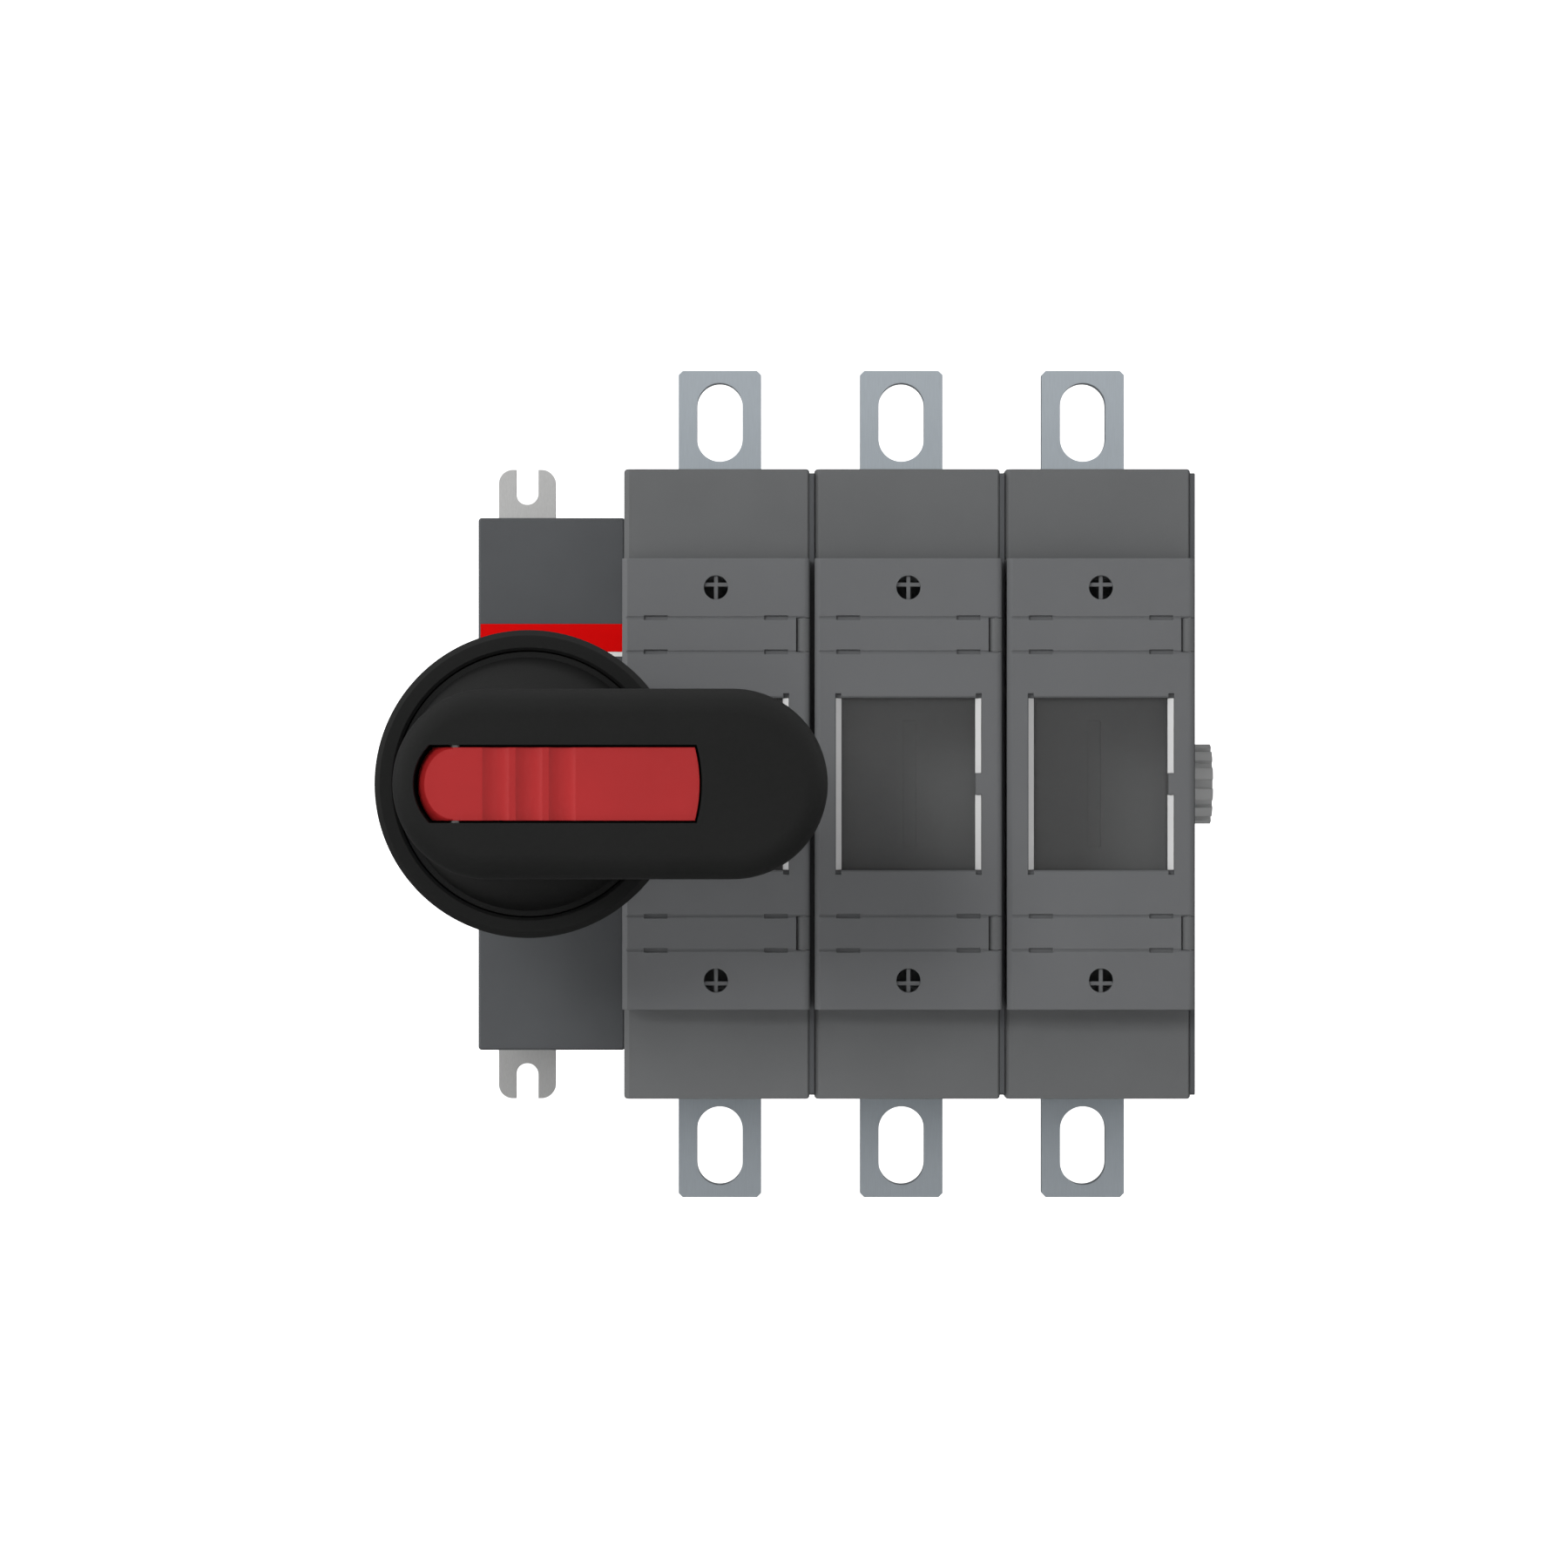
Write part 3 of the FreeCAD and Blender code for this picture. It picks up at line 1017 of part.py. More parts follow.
def fuse_lid(prefix):
    """Raised lid with window, probe holes, thin lines and hinge knuckles on its right side."""
    lid = new_body(prefix + "lid")
    back = LID_BACK
    profile = sketch_on(lid, "XY", "-lid_half_height")
    polygon(profile, ("swing_relief", f"-{back}"), ("0", f"-{back} - swing_relief"),
            ("0", f"-{LID_FRONT} + edge_bevel"), ("edge_bevel", f"-{LID_FRONT}"),
            ("cover_width", f"-{LID_FRONT}"), ("cover_width", f"-{back}"))
    pad(profile, "2 * lid_half_height")
    right = number("cover_width")
    front = -number(LID_FRONT)
    dress(lid, "Fillet", "hinge_inset", lambda edge: edge_at(edge, x=right, y=front))
    hollow = sketch_on(lid, "XZ", LID_INSIDE)
    rectangle(hollow, ("lid_wall", "cover_width - lid_wall"),
              ("-lid_half_height + lid_wall", "lid_half_height - lid_wall"))
    pocket(hollow, f"{LID_INSIDE} - {back}")
    for side in ("", "-"):
        tongue = sketch_on(lid, "XY", f"{side}tongue_height - tongue_half_height")
        rectangle(tongue, ("tongue_inset", "tongue_inset + tongue_thickness"),
                  (f"-{LID_FRONT} + lid_wall / 2", "-shroud_depth + tongue_reach"))
        pad(tongue, "2 * tongue_half_height")
    gap = "(hinge_pin_radius + run_gap)"
    for low, high in (("lug_low - knuckle_length", "lug_low"), ("lug_high", "lug_high + knuckle_length"),
                      ("-lug_low", "-lug_low + knuckle_length"),
                      ("-lug_high - knuckle_length", "-lug_high")):
        knuckle = sketch_on(lid, "XY", low)
        circle(knuckle, PIN_X, f"-{PIN_DEPTH}", "hinge_inset")
        pad(knuckle, f"{high} - ({low})")
    notches = sketch_on(lid, "XZ", LID_FRONT)
    for low, high in (("lug_low", "lug_high"), ("-lug_high", "-lug_low")):
        rectangle(notches, ("cover_width - 2 * hinge_inset - lug_gap", "cover_width + lug_gap"),
                  (low, high))
    pocket(notches, f"{LID_FRONT} - {back}")
    bore = sketch_on(lid, "XY", "lug_high + knuckle_length")
    circle(bore, PIN_X, f"-{PIN_DEPTH}", gap)
    pocket(bore, "lug_high - lug_low + 2 * knuckle_length")
    bore = sketch_on(lid, "XY", "-lug_low + knuckle_length")
    circle(bore, PIN_X, f"-{PIN_DEPTH}", gap)
    pocket(bore, "lug_high - lug_low + 2 * knuckle_length")
    window = sketch_on(lid, "XZ", LID_FRONT)
    rectangle(window, (f"{MIDDLE} - window_half_width", f"{MIDDLE} + window_half_width"),
              ("-window_half_height", "window_half_height"))
    pocket(window, "lid_wall")
    sides = [-number("window_half_height"), number("window_half_height")]
    dress(lid, "Chamfer", "window_bevel",
          lambda edge: runs_along(edge, "X") and edge_at(edge, y=front)
          and any(edge_at(edge, z=side) for side in sides))
    tab = sketch_on(lid, "XZ", f"{LID_FRONT} - pane_recess")
    edge = f"({MIDDLE} + window_half_width)"
    rectangle(tab, (f"{edge} - pane_slope", f"{edge} + pane_slope"), ("-tab_half_height", "tab_half_height"))
    pad(tab, "pane_recess")
    notches = sketch_on(lid, "XZ", LID_FRONT)
    for side in (-1, 1):
        outer = f"({MIDDLE} + {side} * window_half_width)"
        inner = f"({MIDDLE} + {side} * (window_half_width - pane_slope))"
        across = (outer, inner) if side < 0 else (inner, outer)
        for low in ("-window_half_height - corner_notch", "window_half_height"):
            rectangle(notches, across, (low, f"{low} + corner_notch"))
    pocket(notches, "pane_recess")
    for side in ("", "-"):
        hole = sketch_on(lid, "XZ", LID_FRONT)
        circle(hole, MIDDLE, f"{side}probe_height", "probe_radius")
        pocket(hole, "lid_wall")
        level = f"{side}(probe_height + probe_rib_shift)"
        reach = "sqrt(probe_radius ^ 2 - probe_rib_shift ^ 2)"
        cross = sketch_on(lid, "XZ", LID_INSIDE)
        rectangle(cross, (f"{MIDDLE} - {reach}", f"{MIDDLE} + {reach}"),
                  (f"{level} - probe_rib / 2", f"{level} + probe_rib / 2"))
        pad(cross, "lid_wall / 2")
        cross = sketch_on(lid, "XZ", LID_INSIDE)
        rectangle(cross, (f"{MIDDLE} - probe_rib / 2", f"{MIDDLE} + probe_rib / 2"),
                  (f"{side}probe_height - probe_radius", f"{side}probe_height + probe_radius"))
        pad(cross, "lid_wall / 2")
    lines = sketch_on(lid, "XZ", LID_FRONT)
    half = "line_width / 2"
    for height in ("lug_low", "lug_high", "-lug_low", "-lug_high"):
        rectangle(lines, ("-edge_bevel", "cover_width + edge_bevel"),
                  (f"{height} - {half}", f"{height} + {half}"))
    pocket(lines, "line_sink")
    slots = sketch_on(lid, "XZ", LID_FRONT)
    for height in ("lug_low", "lug_high", "-lug_low", "-lug_high"):
        for start in ("clip_slot_inset", "cover_width - clip_slot_inset - clip_slot_length"):
            rectangle(slots, (start, f"{start} + clip_slot_length"),
                      (f"{height} - line_width", f"{height} + line_width"))
    pocket(slots, "lid_wall / 2")
    return lid


def window_pane(prefix):
    """Clear pane: a flange behind the lid's front and a tray whose sides slope to its face."""
    pane = new_body(prefix + "window")
    flange = sketch_on(pane, "XZ", f"{LID_INSIDE} - pane_flange_thickness")
    half_x = "(window_half_width + pane_flange)"
    half_z = "(window_half_height + pane_flange)"
    rectangle(flange, (f"{MIDDLE} - {half_x}", f"{MIDDLE} + {half_x}"), (f"-{half_z}", half_z))
    pad(flange, "pane_flange_thickness")
    half_x = "(window_half_width - pane_gap)"
    half_z = "(window_half_height - pane_gap)"
    face = f"-({LID_FRONT} - pane_recess)"
    rim = f"-({LID_FRONT} - pane_rim)"
    tray = sketch_on(pane, "XY", f"-{half_z}")
    polygon(tray, (f"{MIDDLE} - {half_x}", f"-{LID_INSIDE}"), (f"{MIDDLE} + {half_x}", f"-{LID_INSIDE}"),
            (f"{MIDDLE} + {half_x}", rim), (f"{MIDDLE} + {half_x} - pane_slope", face),
            (f"{MIDDLE} - {half_x} + pane_slope", face), (f"{MIDDLE} - {half_x}", rim))
    pad(tray, f"2 * {half_z}")
    tab = sketch_on(pane, "XZ", LID_FRONT)
    edge = f"({MIDDLE} + window_half_width)"
    height = "(tab_half_height + pane_gap)"
    rectangle(tab, (f"{edge} - pane_slope - pane_gap", edge), (f"-{height}", height))
    pocket(tab, "pane_recess + pane_gap")
    return pane


def fork(body, left):
    """Two leaves, standing across the shaft, that a moving contact enters from the back."""
    for start in (left, f"{left} + {FORK_SPAN} - fork_thickness"):
        leaf = sketch_on(body, "YZ", start)
        bevel = "(terminal_thickness + fork_thickness)"
        polygon(leaf, ("-terminal_depth", "terminal_shoulder"),
                ("-terminal_depth", "fork_low + 2 * terminal_thickness"),
                (f"-terminal_depth + {bevel}", "fork_low"),
                ("-fork_back", "fork_low"), ("-fork_back", "fork_root"),
                (f"-fork_back - {bevel}", "terminal_shoulder"))
        pad(leaf, "fork_thickness")


def terminal(prefix):
    """Upper terminal: a flat copper bar with a slotted hole, ending in a fixed contact fork."""
    bar = new_body(prefix + "upper_terminal")
    half = "terminal_width / 2"
    outline = sketch_on(bar, "XZ", "terminal_depth")
    rectangle(outline, (f"{MIDDLE} - {half}", f"{MIDDLE} + {half}"),
              ("terminal_shoulder", "terminal_reach"))
    pad(outline, "terminal_thickness")
    tip = number("terminal_reach")
    dress(bar, "Chamfer", "terminal_corner",
          lambda edge: runs_along(edge, "Y") and edge_at(edge, z=tip))
    neck = sketch_on(bar, "XZ", "terminal_depth")
    rectangle(neck, (f"{MIDDLE} - {half}", f"{MIDDLE} - {half} + {FORK_SPAN}"),
              ("fork_root", "terminal_shoulder"))
    pad(neck, "terminal_thickness")
    hole = sketch_on(bar, "XZ", "terminal_depth + terminal_thickness")
    travel = "(terminal_slot - terminal_hole) / 2"
    stadium(hole, MIDDLE, (f"terminal_hole_height - {travel}", f"terminal_hole_height + {travel}"),
            "terminal_hole / 2")
    pocket(hole, "terminal_thickness")
    fork(bar, f"{MIDDLE} - {half}")
    return bar


def fuse_jaw(prefix):
    """Upper fuse jaw: two flared leaves on a foot, with a link back to its own fork."""
    jaw = new_body(prefix + "upper_fuse_jaw")
    right = f"({MIDDLE} + terminal_width / 2)"
    left = f"({MIDDLE} - jaw_gap / 2 - fork_thickness)"
    foot = sketch_on(jaw, "XZ", FLOOR_FRONT)
    rectangle(foot, (left, right), ("jaw_low", "jaw_high"))
    pad(foot, "jaw_foot")
    for side in (-1, 1):
        inner = f"({MIDDLE} + {side} * jaw_gap / 2)"
        outer = f"({inner} + {side} * fork_thickness)"
        leaf = sketch_on(jaw, "XY", "jaw_low")
        bend = "-jaw_depth + 2 * jaw_flare"
        polygon(leaf, (inner, f"-{FLOOR_FRONT}"), (inner, bend),
                (f"{inner} + {side} * jaw_flare", "-jaw_depth"),
                (f"{outer} + {side} * jaw_flare", "-jaw_depth"), (outer, bend),
                (outer, f"-{FLOOR_FRONT}"))
        pad(leaf, "jaw_high - jaw_low")
    link = sketch_on(jaw, "XY", "link_height - jaw_foot / 2")
    rectangle(link, (f"{right} - {FORK_SPAN}", right), (f"-{FLOOR_FRONT}", "-terminal_depth"))
    pad(link, "jaw_foot")
    fork(jaw, f"{right} - {FORK_SPAN}")
    return jaw


def rotor(prefix):
    """Moulded rotor: a drum with two seats for the moving contacts and a journal at each end."""
    drum = new_body(prefix + "rotor")
    body = sketch_on(drum, "YZ", f"{MIDDLE} - drum_half_length")
    circle(body, "-shaft_depth", "0", "drum_radius")
    pad(body, "2 * drum_half_length")
    journal = sketch_on(drum, "YZ", "run_gap")
    circle(journal, "-shaft_depth", "0", "journal_radius")
    pad(journal, "pole_pitch - 2 * run_gap")
    bore = sketch_on(drum, "YZ", "pole_pitch")
    half = "shaft_square / 2"
    rectangle(bore, (f"-shaft_depth - {half}", f"-shaft_depth + {half}"), (f"-{half}", half))
    pocket(bore, "pole_pitch")
    seats = sketch_on(drum, "YZ", f"{MIDDLE} + {PRONG_X} + prong_thickness / 2")
    for start, end in (("-shaft_depth + contact_seat", "-shaft_depth + drum_radius + run_gap"),
                       ("-shaft_depth - drum_radius - run_gap", "-shaft_depth - contact_seat")):
        rectangle(seats, (start, end), ("-contact_width / 2", "contact_width / 2"))
    pocket(seats, f"2 * {PRONG_X} + prong_thickness")
    return drum


def moving_contacts(prefix):
    """Two copper bridges, one for each break, with prongs that swing into the forks."""
    half_z = ("-contact_width / 2", "contact_width / 2")
    sides = []
    for side, (seat, reach) in (("back", ("-shaft_depth + contact_seat", "-shaft_depth + contact_reach")),
                                ("front", ("-shaft_depth - contact_seat", "-shaft_depth - contact_reach"))):
        low, high = (seat, reach) if side == "back" else (reach, seat)
        bar = (seat, f"{seat} + prong_thickness") if side == "back" else (f"{seat} - prong_thickness", seat)
        pieces = [box(f"{prefix}{side}_bar", (f"{MIDDLE} - {PRONG_X}", f"{MIDDLE} + {PRONG_X}"),
                      bar, half_z)]
        for hand in (-1, 1):
            centre = f"({MIDDLE} + {hand} * {PRONG_X})"
            pieces.append(box(f"{prefix}{side}_prong_{hand + 1}",
                              (f"{centre} - prong_thickness / 2", f"{centre} + prong_thickness / 2"),
                              (low, high), half_z))
        sides.append(fuse(f"{prefix}{side}_bridge", *pieces))
    sweep = rod(f"{prefix}contact_sweep", "X", "contact_reach", "0", "pole_pitch",
                ("-shaft_depth", "0"))
    return common(prefix + "moving_contacts", fuse(f"{prefix}bridges", *sides), sweep)


ARC_PLATES = 4


def arc_plates(prefix):
    """Splitter plates for each break, cut back along the path of the contact tips."""
    plates = []
    across = ("pole_wall", "cover_width - pole_wall")
    for index in range(ARC_PLATES):
        low = f"(plate_first + {index} * plate_pitch)"
        high = f"({low} + plate_thickness)"
        plates.append(box(f"{prefix}back_plate_{index}", across,
                          ("-fork_back + plate_margin", "-pole_wall"), (low, high)))
        plates.append(box(f"{prefix}front_plate_{index}", across,
                          ("-base_depth", "-terminal_depth - plate_margin"), (f"-{high}", f"-{low}")))
    path = rod(f"{prefix}plate_path", "X", "contact_reach + plate_gap", "0", "pole_pitch",
               ("-shaft_depth", "0"))
    return cut(prefix + "arc_plates", fuse(f"{prefix}plate_stack", *plates), path)


def hinge_pins(prefix):
    """The lid's two short steel pins, held in the front's lugs."""
    spot = (PIN_X, f"-{PIN_DEPTH}")
    ends = ("lug_low - knuckle_length", "lug_high + knuckle_length")
    upper = rod(f"{prefix}upper_pin", "Z", "hinge_pin_radius", *ends, spot)
    lower = rod(f"{prefix}lower_pin", "Z", "hinge_pin_radius", f"-({ends[1]})", f"-({ends[0]})", spot)
    return fuse(prefix + "hinge_pins", upper, lower)


def pole(number_of_pole):
    """All the pieces of one pole, placed side by side along X."""
    prefix = f"pole_{number_of_pole}_"
    left = f"{POLE_LEFT} + {number_of_pole - 1} * pole_pitch"
    pieces = {"base": pole_base, "front": pole_front, "side_plate": side_plate,
              "lid": fuse_lid, "window": window_pane,
              "hinge_pins": hinge_pins, "upper_terminal": terminal, "upper_fuse_jaw": fuse_jaw,
              "rotor": rotor, "moving_contacts": moving_contacts, "arc_plates": arc_plates}
    for name, make in pieces.items():
        node(prefix + name, place(make(prefix), left))
    for name in ("terminal", "fuse_jaw"):
        upper = nodes[f"{prefix}upper_{name}"]
        node(f"{prefix}lower_{name}", mirror_down(f"{prefix}lower_{name}", upper))


# The whole switch.
mechanism_case()
mechanism_cover()
mounting_foot("mounting_foot_top", 1)
mounting_foot("mounting_foot_bottom", -1)
operating_train()
snap_spring()
contact_gear = bevel_gear("contact_gear", "journal_radius",
                          "case_left + case_width - axis_right - run_gap", "shaft_square", 0.5)
contact_gear.Placement = FreeCAD.Placement(FreeCAD.Vector(),
                                           FreeCAD.Rotation(FreeCAD.Vector(0, 1, 0), 90))
place(contact_gear, "axis_right", "-shaft_depth", "0")
handle()
handle_fittings()
lock_lever()
contact_shaft()
for pole_number in range(1, POLES + 1):
    pole(pole_number)
doc.recompute()

for item in doc.Objects:
    if "Invalid" in item.State or "Error" in item.State:
        raise RuntimeError(f"{item.Label} failed: {item.State}")
os.makedirs("parts", exist_ok=True)
for name, item in nodes.items():
    if item.Shape.isNull() or not item.Shape.isValid():
        raise RuntimeError(f"{name} has no valid shape")
    item.Shape.exportStep(f"parts/{name}.step")
print(len(nodes), "sub-parts written")
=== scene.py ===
# Looks of a three-pole fuse switch disconnector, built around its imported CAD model.
# Metres, +Z up, the front faces -Y, and the origin is midway between the two mounting slots.

import math
import bpy
import bmesh
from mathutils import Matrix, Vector


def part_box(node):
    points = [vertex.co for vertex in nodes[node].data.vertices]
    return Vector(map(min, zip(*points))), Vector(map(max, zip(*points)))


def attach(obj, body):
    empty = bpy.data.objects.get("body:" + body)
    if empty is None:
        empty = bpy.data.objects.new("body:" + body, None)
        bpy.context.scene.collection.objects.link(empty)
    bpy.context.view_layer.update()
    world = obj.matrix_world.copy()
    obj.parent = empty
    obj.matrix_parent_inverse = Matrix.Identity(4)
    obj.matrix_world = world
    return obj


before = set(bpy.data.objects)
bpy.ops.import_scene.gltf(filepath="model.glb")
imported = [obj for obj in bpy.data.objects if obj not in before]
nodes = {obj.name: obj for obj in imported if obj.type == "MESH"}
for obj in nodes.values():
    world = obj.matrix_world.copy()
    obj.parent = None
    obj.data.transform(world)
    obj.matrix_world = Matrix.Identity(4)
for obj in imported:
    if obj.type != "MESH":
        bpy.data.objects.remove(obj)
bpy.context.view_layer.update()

MM = 0.001


# Camera and studio
# The switch is seen straight from the front at about 1.1 m, with a long lens, on a white ground.
# The key lamp at the upper left front throws soft shadows, and a side lamp, a small lamp behind
# the lens and the white paper below fill them.
VIEW_CENTRE = Vector((64.7 * MM, 0.0, 0.0))
VIEW_DISTANCE = 1.114
LENS_LENGTH = 101.3
SENSOR_WIDTH = 36.0
NEAREST_VIEW = 0.01
camera_data = bpy.data.cameras.new("camera")
camera_data.lens = LENS_LENGTH
camera_data.sensor_width = SENSOR_WIDTH
camera_data.clip_start = NEAREST_VIEW
camera = bpy.data.objects.new("camera", camera_data)
camera.location = VIEW_CENTRE - Vector((0.0, VIEW_DISTANCE, 0.0))
camera.rotation_euler = (math.radians(90), 0.0, 0.0)
bpy.context.scene.collection.objects.link(camera)
bpy.context.scene.camera = camera
bpy.context.scene.view_settings.view_transform = "Standard"


def soft_lamp(name, place, size, watts):
    """A square area lamp that shines at the switch; glossy surfaces don't mirror it."""
    data = bpy.data.lights.new(name, "AREA")
    data.shape = "SQUARE"
    data.size = size
    data.energy = watts
    lamp = bpy.data.objects.new(name, data)
    lamp.location = place
    lamp.rotation_euler = (VIEW_CENTRE - Vector(place)).to_track_quat("-Z", "Y").to_euler()
    lamp.visible_glossy = False
    bpy.context.scene.collection.objects.link(lamp)


soft_lamp("key_lamp", place=(-0.4, -1.2, 0.36), size=0.32, watts=7.4)
soft_lamp("side_lamp", place=(-1.2, -0.5, 0.2), size=0.6, watts=5.6)
soft_lamp("lens_lamp", place=(0.065, -1.25, -0.06), size=0.2, watts=1.6)


def ground_strength(tree, light, mirrored):
    """1 where the camera or a clear piece looks at it, mirrored in reflections, else light."""
    path = tree.nodes.new("ShaderNodeLightPath")
    reflected = tree.nodes.new("ShaderNodeMapRange")
    reflected.inputs["To Min"].default_value = light
    tree.links.new(path.outputs["Is Glossy Ray"], reflected.inputs["Value"])
    if isinstance(mirrored, float):
        reflected.inputs["To Max"].default_value = mirrored
    else:
        tree.links.new(mirrored, reflected.inputs["To Max"])
    seen = tree.nodes.new("ShaderNodeMath")
    seen.operation = "MAXIMUM"
    tree.links.new(path.outputs["Is Camera Ray"], seen.inputs[0])
    tree.links.new(path.outputs["Is Transmission Ray"], seen.inputs[1])
    strength = tree.nodes.new("ShaderNodeMapRange")
    tree.links.new(seen.outputs[0], strength.inputs["Value"])
    tree.links.new(reflected.outputs["Result"], strength.inputs["To Min"])
    return strength.outputs["Result"]


# The room around the switch is plain white. Metal and gloss mirror it at full strength, and
# more and more dimly towards the low front.
ROOM_LIGHT = 0.40
HIGH_BACK = (0.0, 0.6, 0.8)
DIM_FROM = -0.3
DIMMEST_AT = -0.8
DIMMEST = 0.15
world = bpy.data.worlds.new("studio")
world.use_nodes = True
bpy.context.scene.world = world
room_tree = world.node_tree
ground_light = room_tree.nodes["Background"]
ground_light.inputs["Color"].default_value = (1.0, 1.0, 1.0, 1.0)
facing = room_tree.nodes.new("ShaderNodeTexCoord")
height = room_tree.nodes.new("ShaderNodeVectorMath")
height.operation = "DOT_PRODUCT"
height.inputs[1].default_value = HIGH_BACK
room_tree.links.new(facing.outputs["Generated"], height.inputs[0])
room = room_tree.nodes.new("ShaderNodeMapRange")
room.inputs["From Min"].default_value = DIMMEST_AT
room.inputs["From Max"].default_value = DIM_FROM
room.inputs["To Min"].default_value = DIMMEST
room_tree.links.new(height.outputs["Value"], room.inputs["Value"])
room_tree.links.new(ground_strength(room_tree, ROOM_LIGHT, room.outputs["Result"]),
                    ground_light.inputs["Strength"])

# A sheet of white paper lies below the switch and curves up behind it. It throws the lamps'
# light back up, but metal and gloss mirror it only dimly.
FLOOR_DROP = 0.19
FLOOR_HALF = 3.0
SWEEP_BACK = 1.2
SWEEP_RADIUS = 0.6
SWEEP_STEPS = 16
PAPER_WHITE = 0.9
PAPER_MIRRORED = 0.25
PAPER_GLOW = 0.05
PAPER_ROUGHNESS = 0.9
sweep = bmesh.new()
profile = [(-FLOOR_HALF, -FLOOR_DROP)]
for step in range(SWEEP_STEPS + 1):
    turn = math.radians(90) * step / SWEEP_STEPS
    profile.append((SWEEP_BACK + SWEEP_RADIUS * math.sin(turn),
                    -FLOOR_DROP + SWEEP_RADIUS * (1 - math.cos(turn))))
profile.append((SWEEP_BACK + SWEEP_RADIUS, FLOOR_HALF))
rows = [[sweep.verts.new((x, y, z)) for y, z in profile] for x in (-FLOOR_HALF, FLOOR_HALF)]
for k in range(len(profile) - 1):
    strip = (rows[0][k], rows[1][k], rows[1][k + 1], rows[0][k + 1])
    sweep.faces.new(strip).smooth = True
sweep_mesh = bpy.data.meshes.new("backdrop")
sweep.to_mesh(sweep_mesh)
sweep.free()
backdrop = bpy.data.objects.new("backdrop", sweep_mesh)
bpy.context.scene.collection.objects.link(backdrop)
paper = bpy.data.materials.new("white_paper")
paper.use_nodes = True
paper_tree = paper.node_tree
paper_shader = paper_tree.nodes["Principled BSDF"]
paper_path = paper_tree.nodes.new("ShaderNodeLightPath")
paper_shade = paper_tree.nodes.new("ShaderNodeMapRange")
paper_shade.inputs["To Min"].default_value = PAPER_WHITE
paper_shade.inputs["To Max"].default_value = PAPER_MIRRORED
paper_tree.links.new(paper_path.outputs["Is Glossy Ray"], paper_shade.inputs["Value"])
paper_tree.links.new(paper_shade.outputs["Result"], paper_shader.inputs["Base Color"])
paper_shader.inputs["Roughness"].default_value = PAPER_ROUGHNESS
paper_shader.inputs["Emission Color"].default_value = (1.0, 1.0, 1.0, 1.0)
paper_tree.links.new(ground_strength(paper_tree, 0.0, PAPER_GLOW),
                     paper_shader.inputs["Emission Strength"])
sweep_mesh.materials.append(paper)


# Moulded poles
# Each pole is a back half and a front half moulded in light grey glass-filled polyester, with a
# fine spark-eroded grain, a slight mottle from the flow of the resin, and just softened edges.
POLES = (1, 2, 3)
POLE_GREY = (0.112, 0.115, 0.117)
GRAIN_SIZE = 0.35 * MM
GRAIN_DEPTH = 0.03 * MM
GRAIN_STRENGTH = 0.35
MOTTLE_SCALE = 60.0
MOTTLE_DETAIL = 4.0
MOTTLE_LIMITS = (0.3, 0.7)
GRAIN_DETAIL = 2.0
GLOSS_SPREAD = 0.06
MOULDED_EDGE = 0.25 * MM
EDGE_SAMPLES = 4


def moulding(name, colour, roughness, mottle, gloss=0.3, grain_size=GRAIN_SIZE,
             grain_depth=GRAIN_DEPTH):
    """Moulded plastic: a faint mottle, a fine grain in bump and gloss, and softened edges."""
    material = bpy.data.materials.new(name)
    material.use_nodes = True
    tree = material.node_tree
    shader = tree.nodes["Principled BSDF"]
    shader.inputs["Specular IOR Level"].default_value = gloss
    place = tree.nodes.new("ShaderNodeTexCoord")
    cloud = tree.nodes.new("ShaderNodeTexNoise")
    cloud.inputs["Scale"].default_value = MOTTLE_SCALE
    cloud.inputs["Detail"].default_value = MOTTLE_DETAIL
    tree.links.new(place.outputs["Object"], cloud.inputs["Vector"])
    tint = tree.nodes.new("ShaderNodeValToRGB")
    dark = [c * (1 - mottle) for c in colour]
    light = [c * (1 + mottle) for c in colour]
    tint.color_ramp.elements[0].position = MOTTLE_LIMITS[0]
    tint.color_ramp.elements[0].color = (*dark, 1.0)
    tint.color_ramp.elements[1].position = MOTTLE_LIMITS[1]
    tint.color_ramp.elements[1].color = (*light, 1.0)
    tree.links.new(cloud.outputs["Fac"], tint.inputs["Fac"])
    tree.links.new(tint.outputs["Color"], shader.inputs["Base Color"])
    grain = tree.nodes.new("ShaderNodeTexNoise")
    grain.inputs["Scale"].default_value = 1.0 / grain_size
    grain.inputs["Detail"].default_value = GRAIN_DETAIL
    tree.links.new(place.outputs["Object"], grain.inputs["Vector"])
    edges = tree.nodes.new("ShaderNodeBevel")
    edges.samples = EDGE_SAMPLES
    edges.inputs["Radius"].default_value = MOULDED_EDGE
    bump = tree.nodes.new("ShaderNodeBump")
    bump.inputs["Strength"].default_value = GRAIN_STRENGTH
    bump.inputs["Distance"].default_value = grain_depth
    tree.links.new(grain.outputs["Fac"], bump.inputs["Height"])
    tree.links.new(edges.outputs["Normal"], bump.inputs["Normal"])
    tree.links.new(bump.outputs["Normal"], shader.inputs["Normal"])
    polish = tree.nodes.new("ShaderNodeMapRange")
    polish.inputs["To Min"].default_value = roughness - GLOSS_SPREAD
    polish.inputs["To Max"].default_value = roughness + GLOSS_SPREAD
    tree.links.new(grain.outputs["Fac"], polish.inputs["Value"])
    tree.links.new(polish.outputs["Result"], shader.inputs["Roughness"])
    return material


def dress(names, material):
    """Gives each of these CAD nodes one material."""
    for name in names:
        mesh = nodes[name].data
        mesh.materials.clear()
        mesh.materials.append(material)


def in_each_pole(*pieces):
    """The node names of these pieces in all the poles."""
    return [f"pole_{k}_{piece}" for k in POLES for piece in pieces]


grey_moulding = moulding("grey_moulding", POLE_GREY, roughness=0.6, mottle=0.03)
dress(in_each_pole("base", "front"), grey_moulding)


